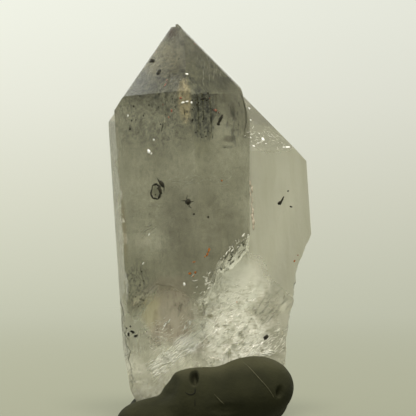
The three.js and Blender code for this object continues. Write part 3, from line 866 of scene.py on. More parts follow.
# The eye gets a cloudy body with smoke in its depth, a silky light on the faces as grown, and a hard
# glint on each broken facet. The thin gloss keeps the flat faces readable as planes.
etched = add_node(tree, "ShaderNodeTexNoise", {}, {"Vector": place, **ETCH_NOISE}).outputs["Fac"]
relief = {"Height": etched, "Strength": ETCH_STRENGTH, "Distance": ETCH_DEPTH}
relief = add_node(tree, "ShaderNodeBump", {}, relief).outputs[0]
surface = {
    "Base Color": colour, "Roughness": rough, "IOR": QUARTZ_IOR, "Transmission Weight": clear,
    "Coat Weight": GLOSS, "Coat Roughness": GLOSS_ROUGHNESS, "Normal": relief,
}
skin = add_node(tree, "ShaderNodeBsdfPrincipled", {}, surface).outputs[0]
smoke = {"Color": linear(SMOKE), "Density": SMOKE_DENSITY}
depth = add_node(tree, "ShaderNodeVolumeAbsorption", {}, smoke).outputs[0]
add_node(tree, "ShaderNodeOutputMaterial", {}, {"Surface": skin, "Volume": depth})
crystal_mesh.materials.append(quartz)
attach(crystal, "root")
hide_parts("amethyst_crystal")
print("quartz:", len(MARKS), "marks,", len(PATTERNS), "patterns")

# %% [markdown]
# ## What is sealed in the crystal
#
# Black grains, a bubble with a dark rim, rust and red dust lie just under the faces. Small open
# cracks throw white glints. Each grain is an uneven ball of a few dozen faces, flattened against its
# face of the crystal, and each thread is a thin tube along a path on the face. They could be painted
# into the quartz, but then the glass would bend them away when it is turned. They are placed by the
# across and height at which they are seen, on a named face, so they lie at the skin from every side.

# %% Grains and threads
GRAIN_ROWS, GRAIN_COLUMNS = 7, 10
GRAIN_LEAST, GRAIN_MORE = 0.7, 0.6
GRAIN_TURN = 3
FLATNESS = 0.35
THREAD_SIDES = 6
THREAD_END, THREAD_END_TURN = 0.3, 0.15
MINERAL_CHANGE = (0.35, 0.65)
MINERAL_DETAIL = 3.0
MINERAL_BUMP, MINERAL_BUMP_DEPTH = 0.4, 0.00005
MINERAL_SHINE = 0.2


def ball_directions(rows, columns):
    """(cos t cos r, sin t cos r, sin r) for turns t once round and rises r from bottom to top."""
    turns = np.linspace(0, 2 * np.pi, columns, endpoint=False)
    turn, rise = np.meshgrid(turns, np.linspace(-np.pi / 2, np.pi / 2, rows))
    return np.stack([np.cos(turn) * np.cos(rise), np.sin(turn) * np.cos(rise), np.sin(rise)], axis=-1)


def grain(face, across, height, half_level, half_up, turn=0.0, sink=0.5):
    """A unit ball times 0.7 to 1.3, stretched along the face, flattened across it, and sunk under it."""
    unit = ball_directions(GRAIN_ROWS, GRAIN_COLUMNS)
    rows, columns = np.indices(unit.shape[:2])
    ends = (rows == 0) | (rows == GRAIN_ROWS - 1)
    chance = scatter(rows + across * GRAIN_TURN, np.where(ends, 0, columns) + height)
    ball = unit * (GRAIN_LEAST + GRAIN_MORE * chance)[..., None]
    thick = min(half_level, half_up) * FLATNESS
    level, up = ball[..., 0] * half_level, ball[..., 2] * half_up
    c, s = math.cos(math.radians(turn)), math.sin(math.radians(turn))
    spread = [
        (level * c - up * s)[..., None] * face["level"], (level * s + up * c)[..., None] * face["up"],
        (ball[..., 1] * thick)[..., None] * face["out"],
    ]
    middle = seen_on(face, across, height, thick * sink)
    return ball_points(middle + sum(spread)), ball_faces(GRAIN_ROWS, GRAIN_COLUMNS)


def path_on(face, path, sink=0.0):
    """Each (across, height) of a path, taken to where it is seen on the face."""
    return np.array([seen_on(face, *place, sink) for place in path])


def thread(line, out, radius):
    """A tube along a line. Its radius grows from 0.3 at each end to 1 in the middle, by a sine."""
    along = np.gradient(line, axis=0)
    along /= np.linalg.norm(along, axis=1, keepdims=True)
    side = np.cross(along, out)
    side /= np.linalg.norm(side, axis=1, keepdims=True)
    turn = np.linspace(0, 2 * np.pi, THREAD_SIDES, endpoint=False)
    swell = np.sin(np.linspace(THREAD_END_TURN, np.pi - THREAD_END_TURN, len(line)))
    width = radius * (THREAD_END + (1 - THREAD_END) * swell)
    beside = np.cos(turn)[None, :, None] * side[:, None]
    rings = line[:, None] + width[:, None, None] * (
        beside + np.sin(turn)[None, :, None] * np.cross(side, along)[:, None]
    )
    caps = [np.repeat(line[end][None, None], THREAD_SIDES, axis=1) for end in (0, -1)]
    grid = np.concatenate([caps[0], rings, caps[1]])
    return ball_points(grid), ball_faces(len(grid), THREAD_SIDES)


def joined(name, parts, material, to_part=stand):
    """One mesh of many small closed ones: every part's faces are numbered on from the points before it."""
    starts = np.cumsum([0] + [len(points) for points, _ in parts[:-1]])
    points = np.concatenate([points for points, _ in parts])
    faces = [
        [corner + start for corner in face]
        for start, (_, listed) in zip(starts, parts) for face in listed
    ]
    mesh = mesh_from(name, to_part(points), faces)
    turn_outward(mesh)
    shade_smooth(mesh)
    mesh.materials.append(material)
    piece = add_object(name, mesh)
    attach(piece, "root")
    print(name + ":", len(parts), "parts,", len(mesh.polygons), "faces")
    return piece


def plain_mineral(name, dark, light, size, rough):
    """A mineral whose colour wanders between two tones over the given size in millimetres."""
    material, tree = new_material(name)
    noise = {"Vector": crystal_millimetres(tree), "Scale": 1 / size, "Detail": MINERAL_DETAIL}
    noise = add_node(tree, "ShaderNodeTexNoise", {}, noise).outputs["Fac"]
    limits = {"Value": noise, "From Min": MINERAL_CHANGE[0], "From Max": MINERAL_CHANGE[1]}
    share = add_node(tree, "ShaderNodeMapRange", {}, limits).outputs[0]
    tones = {FACTOR: share, COLOUR_A: linear(dark), COLOUR_B: linear(light)}
    tone = add_node(tree, "ShaderNodeMix", BLEND, tones).outputs[MIXED_COLOUR]
    grainy = {"Height": noise, "Strength": MINERAL_BUMP, "Distance": MINERAL_BUMP_DEPTH}
    grainy = add_node(tree, "ShaderNodeBump", {}, grainy).outputs[0]
    skin = {"Base Color": tone, "Roughness": rough, "Specular IOR Level": MINERAL_SHINE, "Normal": grainy}
    skin = add_node(tree, "ShaderNodeBsdfPrincipled", {}, skin)
    add_node(tree, "ShaderNodeOutputMaterial", {}, {"Surface": skin.outputs[0]})
    return material


# %% [markdown]
# ## Black grains and dark threads
#
# The black grains are iron oxide that the growing crystal took in: one with thin legs in the middle,
# a bubble with a dark rim, and single grains on every side. Below the shoulder the etching holds
# dark specks and short upright streaks, too many of them to list. So the large ones are listed one
# by one, and the specks are scattered by seeded chance inside the limits given for each field.
#
# A grain's row holds across, height, half its width, half its height, and its turn in degrees.
# A field's row holds a count, limits of across and height, and then its limits of size.

# %% Black grains and dark threads
BLACK_GRAINS = [
    ("front", "front_left", True, [
        (-2.55, 34.08, 0.34, 0.22, -10), (-1.9, 32.84, 0.28, 0.3), (0.16, 34.03, 0.07, 0.07),
        (-1.77, 33.46, 0.06, 0.09),
    ]),
    ("front", "front_left", False, [
        (0.15, 19.82, 0.34, 0.26, 20), (-2.3, 21.75, 0.2, 0.36, 30), (-2.75, 21.35, 0.07, 0.1),
        (-3.0, 20.75, 0.08, 0.07), (-3.75, 18.9, 0.06, 0.06), (-4.9, 28.2, 0.1, 0.08),
        (-4.6, 29.6, 0.09, 0.12), (-2.4, 29.0, 0.06, 0.06), (0.66, 18.61, 0.12, 0.08),
    ]),
    ("front", "front_right", False, [
        (3.85, 27.73, 0.17, 0.5, -35), (3.6, 27.25, 0.2, 0.14), (1.12, 27.72, 0.12, 0.14),
        (2.0, 18.23, 0.1, 0.12), (2.3, 29.75, 0.28, 0.1, 10),
    ]),
    ("back", "front_right", False, [
        (9.3, 19.13, 0.3, 0.18, 25), (9.6, 19.5, 0.1, 0.32, -35), (10.22, 20.29, 0.11, 0.08),
        (10.43, 18.68, 0.17, 0.08, -20), (7.0, 5.85, 0.3, 0.22, 30),
    ]),
    ("back", "back_left", False, [
        (-4.2, 19.0, 0.3, 0.2, 30), (-3.7, 19.6, 0.1, 0.3, 10), (-1.2, 24.4, 0.14, 0.14),
        (-5.0, 13.2, 0.2, 0.12), (-2.0, 11.0, 0.1, 0.16),
    ]),
    ("back", "back_right", False, [
        (5.2, 22.0, 0.24, 0.34, -20), (6.8, 17.4, 0.12, 0.12), (4.6, 14.6, 0.3, 0.16, 40),
        (8.2, 20.2, 0.1, 0.2),
    ]),
    ("back", "front_left", False, [
        (-6.3, 7.2, 0.3, 0.13, -25), (-6.0, 6.8, 0.26, 0.12, 15), (-6.75, 6.95, 0.13, 0.2),
        (-6.5, 7.75, 0.1, 0.1), (-6.9, 7.6, 0.12, 0.08),
    ]),
]
RING_MIDDLE, RING_HALF = (-2.95, 21.05), (0.48, 0.72)
RING_ARCS = [
    (95, 170, 0.06), (160, 250, 0.1), (235, 300, 0.06), (290, 335, 0.12), (325, 425, 0.17), (60, 105, 0.1),
]
RING_LEAST, RING_MORE = 0.8, 0.34
ARC_PLACES = 12
DARK_THREADS = [
    ("front_left", [(0.1, 19.85), (-0.2, 20.0), (-0.45, 19.95)], 0.05),
    ("front_left", [(0.1, 19.85), (0.05, 20.2), (0.15, 20.5)], 0.05),
    ("front_left", [(0.2, 19.8), (0.5, 19.8), (0.75, 19.9)], 0.05),
    ("front_left", [(0.15, 19.75), (0.25, 19.4), (0.45, 19.2)], 0.05),
    ("front_left", [(-2.35, 21.5), (-2.55, 21.95), (-2.7, 22.4)], 0.07),
    ("front_left", [(-2.35, 21.7), (-2.1, 21.4), (-2.15, 21.0)], 0.06),
    ("front_left", [(-1.8, 27.8), (-1.85, 27.4), (-2.0, 26.9)], 0.06),
    ("front_left", [(0.33, 29.0), (0.36, 28.6), (0.42, 28.2)], 0.04),
    ("front_right", [(5.95, 30.2), (6.25, 29.3), (6.38, 28.2), (6.36, 27.3), (6.1, 26.3)], 0.05),
]
STREAK_FIELDS = [
    (10, (1.2, 3.2), (26.2, 30.4), (0.1, 0.5), (0.02, 0.05)),
    (14, (4.7, 6.1), (26.4, 29.6), (0.15, 0.6), (0.02, 0.045)),
]
STREAK_BEND, STREAK_END = 0.2, 0.3
SPOT_FIELDS = [
    ("front_right", 40, (1.15, 2.8), (25.6, 30.6), (0.02, 0.11)),
    ("front_left", 20, (-5.6, -2.0), (27.0, 31.0), (0.03, 0.11)),
    ("front_left", 10, (-1.6, 0.8), (26.8, 30.6), (0.03, 0.08)),
    ("front_left", 46, (-6.3, -4.6), (9.8, 13.6), (0.02, 0.09)),
]
SPOT_LEAST, SPOT_MORE = 0.6, 0.8
QUARTER_TURN = 90
DARK_SINK = 0.1
CHANCE_SEED = 7
dice = np.random.default_rng(CHANCE_SEED)


def between(limits, share):
    """The lower limit plus the share of the way to the upper one."""
    return limits[0] + (limits[1] - limits[0]) * share


def streaks(face, count, acrosses, heights, lengths, radii):
    """Short upright threads at scattered places, each with a small bend."""
    made = []
    for draw in dice.random((count, 5)):
        across, height = between(acrosses, draw[0]), between(heights, draw[1])
        length, radius = between(lengths, draw[2]), between(radii, draw[3])
        bend = (draw[4] - 0.5) * STREAK_BEND
        path = [
            (across, height), (across + bend, height - length / 2),
            (across + bend * STREAK_END, height - length),
        ]
        made.append(thread(path_on(face, path, radius / 2), face["out"], radius))
    return made


def spots(name, count, acrosses, heights, sizes):
    """Small grains at scattered places on a face of the front individual, most of them small."""
    face = face_of(FRONT_INDIVIDUAL, name, False)
    made = []
    for draw in dice.random((count, 5)):
        size = between(sizes, draw[2] ** 2)
        place = (between(acrosses, draw[0]), between(heights, draw[1]))
        taller = size * (SPOT_LEAST + SPOT_MORE * draw[3])
        made.append(grain(face, *place, size, taller, turn=QUARTER_TURN * draw[4]))
    return made


def listed_grains(table, sink):
    """A grain for each row of each face in the table, sunk by so many times its thickness."""
    return [
        grain(face_of(INDIVIDUALS[body], name, on_point), *place, sink=sink)
        for body, name, on_point, places in table for place in places
    ]


# The eye gets small dull holes in the bright stone, which say how clear the stone over them is.
black = plain_mineral("black iron oxide, grown in", "11100a", "2e2b1c", 0.2, 0.55)
dark_parts = listed_grains(BLACK_GRAINS, DARK_SINK)
front_left, front_right = [face_of(FRONT_INDIVIDUAL, name, False) for name in ("front_left", "front_right")]
for name, path, radius in DARK_THREADS:
    face = face_of(FRONT_INDIVIDUAL, name, False)
    dark_parts.append(thread(path_on(face, path), face["out"], radius))
for first_turn, last_turn, radius in RING_ARCS:
    turns = np.radians(np.linspace(first_turn, last_turn, ARC_PLACES))
    size = RING_LEAST + RING_MORE * scatter(np.arange(ARC_PLACES), first_turn)
    arc = [RING_MIDDLE[i] + RING_HALF[i] * size * wave(turns) for i, wave in enumerate((np.cos, np.sin))]
    dark_parts.append(thread(path_on(front_left, zip(*arc)), front_left["out"], radius))
for field in STREAK_FIELDS:
    dark_parts += streaks(front_right, *field)
for field in SPOT_FIELDS:
    dark_parts += spots(*field)
joined("black_grains", dark_parts, black)

# %% [markdown]
# ## Rust, red dust, chalk, glints and haze
#
# Rust fills a few small cracks, and red iron dust lies in the etched part. A chalky crust follows the
# rim between the two individuals. The brightest glints are smooth white flakes at the skin: painted
# highlights where the stone catches the light, in part true open cracks, flat and full of air. A bright
# spot in the colour alone would not catch the light. A little milky haze hangs deeper, where cracks
# have healed. All are grains from the same function, and only their depth, their sizes and their
# minerals differ.

# %% Rust, red dust, chalky rim, white glints and haze
RUST = [
    ("front", "front_right", False, [
        (1.88, 15.03, 0.12, 0.24, -25), (1.68, 14.62, 0.1, 0.2, -25), (1.46, 14.43, 0.09, 0.08),
        (3.57, 21.69, 0.1, 0.09),
    ]),
    ("front", "front_left", False, [
        (-0.11, 12.86, 0.2, 0.12, 10), (0.42, 12.93, 0.16, 0.12, 20), (0.2, 12.6, 0.1, 0.08),
        (0.35, 13.96, 0.2, 0.06),
    ]),
    ("back", "back_left", False, [
        (-3.0, 16.2, 0.3, 0.16, 30), (-2.6, 15.8, 0.12, 0.12), (-5.4, 10.4, 0.2, 0.1),
    ]),
    ("back", "back_right", False, [
        (5.2, 12.4, 0.26, 0.14, -30), (5.6, 12.0, 0.12, 0.1), (4.4, 19.4, 0.12, 0.2),
    ]),
    ("back", "front_right", False, [
        (10.4, 13.2, 0.22, 0.1, 45), (10.8, 13.75, 0.1, 0.08), (4.3, 9.6, 0.09, 0.09),
    ]),
]
RED_DUST = [
    ("front", "front_left", True, [
        (-1.3, 31.45, 0.1, 0.42, -20), (-1.15, 31.9, 0.08, 0.14), (-2.1, 35.0, 0.08, 0.12),
    ]),
    ("front", "front_right", True, [
        (1.83, 35.5, 0.16, 0.07, -40),
    ]),
    ("front", "front_left", False, [
        (0.09, 29.96, 0.12, 0.1), (-1.67, 29.5, 0.07, 0.12), (-0.87, 28.8, 0.08, 0.14),
        (-1.2, 28.2, 0.06, 0.08),
    ]),
    ("front", "front_right", False, [
        (3.3, 28.6, 0.34, 0.12, -15), (3.7, 28.35, 0.12, 0.1), (2.9, 29.8, 0.09, 0.06),
    ]),
]
GLINTS = [
    ("front", "front_left", False, [
        (-3.37, 25.03, 0.2, 0.2), (-3.15, 24.8, 0.12, 0.07, 30), (-2.82, 26.14, 0.1, 0.09),
        (-5.24, 28.74, 0.09, 0.11), (0.3, 29.5, 0.2, 0.07), (0.7, 29.56, 0.16, 0.06),
        (-0.72, 11.86, 0.12, 0.16), (-4.7, 14.06, 0.16, 0.04, 45), (-3.9, 16.9, 0.16, 0.03, 35),
    ]),
    ("front", "front_right", False, [
        (1.13, 29.42, 0.1, 0.12),
    ]),
    ("front", "front_right", True, [
        (0.84, 32.33, 0.17, 0.1),
    ]),
    ("back", "front_right", True, [
        (6.94, 28.96, 0.08, 0.14), (6.96, 27.73, 0.1, 0.08), (8.04, 25.69, 0.15, 0.2),
        (7.03, 25.01, 0.13, 0.1), (7.5, 25.3, 0.07, 0.07), (6.8, 25.9, 0.06, 0.1),
        (8.3, 25.2, 0.1, 0.05), (7.7, 26.3, 0.05, 0.07), (10.5, 24.72, 0.3, 0.1),
        (10.1, 24.75, 0.16, 0.06),
    ]),
    ("back", "front_left", False, [
        (-2.97, 7.78, 0.35, 0.07, 50), (-2.54, 8.17, 0.3, 0.06, 50), (-3.2, 7.4, 0.2, 0.05, 45),
        (-0.46, 7.9, 0.12, 0.24), (-0.99, 7.42, 0.09, 0.2),
    ]),
]
HAZE = [
    ("front", "front_left", True, [
        (-0.2, 32.1, 0.3, 0.3), (0.3, 31.8, 0.24, 0.2), (-0.7, 31.9, 0.16, 0.3),
    ]),
    ("front", "front_right", True, [
        (1.3, 31.6, 0.14, 0.4, 15),
    ]),
    ("front", "front_right", False, [
        (4.1, 24.9, 0.2, 0.06, -12),
    ]),
]
CHALK_GRAINS = 9
CHALK_START, CHALK_STEP, CHALK_WANDER, CHALK_TURN = (6.45, 16.9), 0.55, 0.1, 3
CHALK_HALF_WIDTH, CHALK_WIDTH_CHANGE, CHALK_HALF_HEIGHT = 0.13, 0.05, 0.36
RUST_SINK, DUST_SINK, CHALK_SINK, GLINT_SINK, HAZE_SINK = 0.5, 0.9, 0.4, 0.2, 1.6


def chalk_grain(number):
    """The grains follow each other upwards, and wander and change their width by a sine."""
    across = CHALK_START[0] + CHALK_WANDER * math.sin(CHALK_TURN * number)
    width = CHALK_HALF_WIDTH + CHALK_WIDTH_CHANGE * math.sin(number)
    return across, CHALK_START[1] + CHALK_STEP * number, width, CHALK_HALF_HEIGHT


CHALK = [("back", "front_right", False, [chalk_grain(number) for number in range(CHALK_GRAINS)])]

# Rust is a warm, dull orange: the only strong colour in the whole stone.
rust = plain_mineral("rust in a crack", "8a4a1c", "b5702f", 0.15, 0.8)
# Red dust gives the etched part faint pink specks.
dust = plain_mineral("red iron dust", "7c4038", "9a6a55", 0.1, 0.8)
# Chalk is a soft, pale line without any shine, next to glossy quartz.
chalk = plain_mineral("chalky crust on a rim", "b0a48f", "d8cfbd", 0.2, 0.85)
# White flakes are painted highlights at the glints; in part they are open cracks full of air,
# which throw nearly all light back, so they are white and smooth.
white = plain_mineral("open crack, full of air", "f4f3ea", "ffffff", 0.1, 0.2)
# A healed crack is only a little lighter than the stone round it.
milky = plain_mineral("healed crack, milky", "a3a7a0", "cdd0c6", 0.2, 0.7)
joined("rust_stains", listed_grains(RUST, RUST_SINK), rust)
joined("red_dust", listed_grains(RED_DUST, DUST_SINK), dust)
joined("chalky_rim", listed_grains(CHALK, CHALK_SINK), chalk)
joined("open_cracks_and_painted_glints", listed_grains(GLINTS, GLINT_SINK), white)
joined("pale_haze", listed_grains(HAZE, HAZE_SINK), milky)

# %% [markdown]
# ## Fine cracks in the broken parts
#
# What makes a broken crystal look icy is a crowd of hair-thin open cracks just under the skin. Each
# one is full of air, so it throws the light back white. They come in fields: a band on the skin with
# a direction of its own. Some fields are dark: where a crack is seen edge on it looks dark, and in the
# steps of the break and the grey patch the dark cracks are painted shade. A bump in the material would
# be cheaper, but it has no depth and no glint of its own. So each crack is a thin bent thread, whose
# places are found by looking at the skin from the front, or from behind.
#
# A field's row holds the two ends of its band, the band's width, the count, the turn of its cracks and
# how far they stray from it in degrees, and the limits of their length and of their radius.

# %% Fields of fine cracks
LOOK_FROM = 40.0
LARGEST_STEP = 0.5
CRACK_PLACES = 5
CRACK_BEND = 0.2
FACING = np.array([0.0, -1.0, 0.0])
PALE_FIELDS = [
    ((3.0, 12.2), (1.8, 5.3), 3.4, 300, 25, 60, (0.15, 0.9), (0.012, 0.05)),  # icy part
    ((0.1, 8.2), (-0.6, 5.6), 1.6, 80, 35, 40, (0.15, 0.7), (0.012, 0.045)),  # left of it
    ((-4.7, 3.2), (0.8, 6.9), 1.0, 380, 37, 16, (0.3, 1.3), (0.012, 0.06)),  # slanting seam
    ((-4.7, 3.2), (0.8, 6.9), 0.7, 60, 37, 14, (0.3, 1.0), (0.04, 0.08)),  # its widest cracks
    ((-4.8, 6.1), (-2.1, 7.0), 2.0, 80, 20, 30, (0.15, 0.6), (0.01, 0.028)),  # above the seam
    ((4.3, 4.7), (9.3, 5.6), 1.4, 170, 28, 24, (0.2, 1.0), (0.008, 0.035)),  # foot of the icy part
    ((5.9, 16.3), (1.4, 11.5), 0.9, 110, 55, 60, (0.12, 0.5), (0.012, 0.05)),  # right edge of the break
    ((-3.6, 11.3), (-6.2, 7.9), 0.25, 70, 57, 12, (0.2, 0.7), (0.02, 0.06)),  # left edge of the break
    ((6.3, 4.2), (8.0, 4.3), 0.4, 16, 0, 12, (0.3, 1.0), (0.04, 0.08)),  # flat cracks at the foot
    ((8.0, 26.7), (10.2, 24.8), 0.8, 40, -30, 50, (0.1, 0.4), (0.006, 0.024)),  # rim of the back's shoulder
    ((6.7, 26.6), (7.9, 25.3), 0.9, 50, 20, 60, (0.1, 0.5), (0.006, 0.024)),  # left of that rim
    ((-6.5, 19.1), (-6.6, 14.9), 0.2, 16, 85, 15, (0.1, 0.5), (0.01, 0.03)),  # left outline
]
VEIL_FIELDS = [
    ((-5.1, 16.8), (-3.3, 17.7), 0.7, 40, 35, 20, (0.2, 0.8), (0.01, 0.02)),  # over the break
    ((-1.6, 21.9), (4.3, 21.7), 0.7, 40, 5, 50, (0.3, 1.0), (0.005, 0.011)),  # across the middle
    ((-6.0, 18.9), (-2.5, 19.4), 2.6, 30, 15, 60, (0.2, 0.8), (0.005, 0.01)),  # left side
    ((-2.1, 29.4), (0.5, 29.0), 2.6, 40, 85, 40, (0.2, 0.8), (0.005, 0.011)),  # under the shoulder
    ((2.0, 34.1), (3.3, 31.7), 1.2, 40, 82, 12, (0.3, 1.2), (0.005, 0.011)),  # streaks of the point
]
# In part these dark fields are painted shade: those along the break and in the grey patch. Those on the tip
# are crust, and those in the lavender part are veins.
DARK_FIELDS = [
    ((-0.5, 36.1), (0.1, 37.1), 0.35, 24, 60, 20, (0.15, 0.5), (0.015, 0.035)),  # crust on the tip
    ((-6.4, 8.6), (-4.2, 11.7), 0.7, 60, 55, 30, (0.1, 0.5), (0.01, 0.035)),  # left wedge
    ((5.7, 16.1), (1.5, 11.7), 0.9, 40, 60, 50, (0.2, 0.7), (0.02, 0.06)),  # right edge of the break
    # painted shade: dark cracks that draw the shadowed grey patch
    ((6.1, 8.0), (9.7, 9.8), 1.4, 60, 42, 18, (0.3, 1.2), (0.015, 0.045)),  # grey patch
    ((-0.5, 10.1), (-2.5, 5.2), 1.6, 12, 68, 22, (0.8, 2.4), (0.015, 0.03)),  # lavender part
    ((2.9, 10.8), (3.0, 5.3), 3.6, 40, 20, 50, (0.2, 0.8), (0.015, 0.035)),  # icy part
    ((-7.3, 10.8), (-6.6, 1.2), 0.25, 14, -80, 3, (2.0, 4.0), (0.02, 0.04)),  # left outline
    ((1.0, 11.0), (0.5, 5.0), 0.3, 12, 86, 8, (0.6, 1.6), (0.015, 0.035)),  # left end of the icy part
]
BACK_FIELDS = [
    ((-5.0, 3.0), (-3.0, 6.5), 3.0, 180, 20, 80, (0.1, 0.6), (0.005, 0.022)),  # left of the foot
    ((2.0, 3.0), (8.0, 8.0), 3.6, 240, -25, 80, (0.1, 0.6), (0.005, 0.022)),  # right of the foot
    ((-4.5, 21.0), (1.5, 25.5), 1.2, 70, 35, 40, (0.1, 0.6), (0.004, 0.014)),  # upper left
    ((6.0, 18.5), (9.5, 15.5), 1.0, 60, -40, 40, (0.1, 0.6), (0.004, 0.014)),  # upper right
]
skin_corners = [vertex.co for vertex in crystal_mesh.vertices]
skin_faces = [tuple(polygon.vertices) for polygon in crystal_mesh.polygons]
crystal_skin = BVHTree.FromPolygons(skin_corners, skin_faces)


def on_skin(across, height, side):
    """Where a look from in front (side -1) or behind (1) meets the crystal, in the part's millimetres."""
    start = stand([[across, side * LOOK_FROM, height]])[0]
    place, _, _, _ = crystal_skin.ray_cast(Vector(start), Vector((0.0, -side, 0.0)))
    return None if place is None else np.array(place) / MM


def crack_field(side, start, end, wide, count, turn, spread, lengths, radii):
    """Bent threads: a middle in the band, a turn and a length each, drawn between the field's limits."""
    start, end = np.array(start), np.array(end)
    beside = np.array([start[1] - end[1], end[0] - start[0]]) / np.linalg.norm(end - start)
    made = []
    for draw in dice.random((count, 5 + CRACK_PLACES)):
        middle = start + (end - start) * draw[0] + beside * wide * (draw[1] + draw[2] - 1)
        angle = math.radians(turn + spread * (draw[3] + draw[4] - 1))
        length = between(lengths, draw[5] ** 2)
        along = np.array([math.cos(angle), math.sin(angle)])
        bends = (draw[5:] - 0.5) * length * CRACK_BEND
        steps = zip(np.linspace(-0.5, 0.5, CRACK_PLACES), bends)
        path = [middle + along * length * share + along[::-1] * bend for share, bend in steps]
        line = [on_skin(*place, side) for place in path]
        if any(place is None for place in line):
            continue
        line = np.array(line)
        if np.abs(np.diff(line[:, 1])).max() < LARGEST_STEP:
            made.append(thread(line, FACING, between(radii, draw[9] ** 2)))
    return made


def crack_piece(name, fields, material, side=-1.0):
    """All the cracks of several fields as one piece."""
    cracks = [crack for field in fields for crack in crack_field(side, *field)]
    return joined(name, cracks, material, in_metres)


# Pale cracks are bright and a little glossy, so that together they look like ice.
open_crack = plain_mineral("hair crack, full of air", "d2d1c4", "f2f1e6", 0.1, 0.3)
# Healed cracks are close to the stone's own tone, and show only as veils.
healed_crack = plain_mineral("hair crack, healed", "737363", "8f8f80", 0.2, 0.5)
# Dark cracks draw the steps of the break as thin grey lines: partly painted shade on the steps,
# partly cracks seen edge on, veins and the crust on the tip.
edge_on_or_shaded_crack = plain_mineral("hair crack, seen edge on", "4f5043", "77776a", 0.2, 0.5)
crack_piece("pale_cracks", PALE_FIELDS, open_crack)
crack_piece("back_cracks", BACK_FIELDS, open_crack, 1.0)
crack_piece("healed_cracks", VEIL_FIELDS, healed_crack)
crack_piece("dark_cracks_and_painted_shade", DARK_FIELDS, edge_on_or_shaded_crack)

# %% [markdown]
# ## The putty
#
# Display putty is a soft, dull lump that was pressed round the foot. Its form is the sum of seven
# rounded lumps, so they flow into each other the way kneaded putty does. Metaballs would do the same
# with less control over the outline. A ray goes out from a place in the middle for each turn and rise,
# and the surface is where the ray leaves the sum. The dents of a fingertip and a tool are pressed in
# from the front. The socket is cut out with the crystal's own planes.
#
# A lump's row holds its middle and its half sizes. A dent's row holds across, height, its half sizes
# and its depth.

# %% The lump and its socket
PUTTY_LUMPS = np.array([
    (0.2, 3.2, 1.1, 7.3, 8.2, 2.3),
    (5.3, -4.4, 4.1, 3.9, 3.0, 3.05),
    (0.0, -4.9, 3.1, 4.3, 2.7, 3.0),
    (-4.2, -4.6, 0.8, 4.0, 2.6, 2.1),
    (6.9, -2.0, 3.4, 1.9, 2.6, 2.7),
    (0.8, 9.6, 1.4, 5.6, 2.8, 2.2),
    (-3.6, 6.0, 0.9, 3.2, 3.8, 1.9),
])
LUMP_BLEND = 6.0
PUTTY_MIDDLE = np.array([0.5, 1.5, 1.0])
PUTTY_REACH, PUTTY_STEPS, PUTTY_HALVINGS = 20.0, 80, 12
PUTTY_ROWS, PUTTY_COLUMNS = 240, 480
WAVE_COUNT, WAVE_PHASE, WAVE_SHARE = 12, 7.0, 4
KNEADING = [(0.07, 4.6, 1), (0.012, 1.3, 5)]
PUTTY_SHRINK = 0.06
PUTTY_DENTS = [
    (-0.55, 5.2, 0.36, 0.58, 1.0),
    (7.75, 3.85, 0.28, 0.5, 0.5),
    (4.7, 5.6, 1.1, 1.6, 0.14),
    (2.6, 2.2, 1.6, 0.5, 0.16),
    (-3.2, 3.4, 1.4, 0.7, 0.14),
    (-3.9, 4.4, 1.7, 1.3, 0.75),
]
SOCKET_GAP = 0.03
SOCKET_RIGHT = ((10.1, 9.1), (8.5, 0))
PUTTY_SHARP_EDGE = math.radians(50)


def lump_sum(places):
    """The sum over the lumps of exp(-6 (|p - m| / half - 1)): above 1 inside the putty."""
    total = np.zeros(places.shape[:-1])
    for lump in PUTTY_LUMPS:
        total += np.exp(-LUMP_BLEND * (np.linalg.norm((places - lump[:3]) / lump[3:], axis=-1) - 1))
    return total


def putty_radius(directions):
    """The outermost crossing of 1 along each ray: found on 80 steps, then halved 12 times."""
    steps = np.linspace(0, PUTTY_REACH, PUTTY_STEPS + 1)
    inside = np.stack([lump_sum(PUTTY_MIDDLE + directions * step) > 1 for step in steps])
    last = PUTTY_STEPS - np.argmax(inside[::-1], axis=0)
    near, far = steps[last], steps[np.minimum(last + 1, PUTTY_STEPS)]
    for _ in range(PUTTY_HALVINGS):
        middle = (near + far) / 2
        within = lump_sum(PUTTY_MIDDLE + directions * middle[..., None]) > 1
        near, far = np.where(within, middle, near), np.where(within, far, middle)
    return near


def waves(places, size, seed):
    """The sum of twelve sine waves of one length in scattered directions, over four."""
    number = np.arange(WAVE_COUNT)
    way = np.stack([scatter(number, seed + turn) for turn in range(3)]) - 0.5
    way /= np.linalg.norm(way, axis=0)
    return np.sin(2 * np.pi / size * (places @ way) + WAVE_PHASE * number).sum(axis=-1) / WAVE_SHARE


directions = ball_directions(PUTTY_ROWS, PUTTY_COLUMNS)
radius = putty_radius(directions)
smooth_places = PUTTY_MIDDLE + directions * radius[..., None]
for deep, size, seed in KNEADING:
    radius = radius + deep * waves(smooth_places, size, seed)
radius = radius - PUTTY_SHRINK
in_front = smooth_places[..., 1] < PUTTY_MIDDLE[1]
for across, high, half_across, half_up, deep in PUTTY_DENTS:
    off_across = (smooth_places[..., 0] - across) / half_across
    off_up = (smooth_places[..., 2] - high) / half_up
    off = off_across ** 2 + off_up ** 2
    radius = radius - deep * np.exp(-off * off) * in_front
downwards = np.maximum(-directions[..., 2], NEARLY_ZERO)
to_ground = np.where(directions[..., 2] < 0, PUTTY_MIDDLE[2] / downwards, np.inf)
putty_places = PUTTY_MIDDLE + directions * np.minimum(radius, to_ground)[..., None]

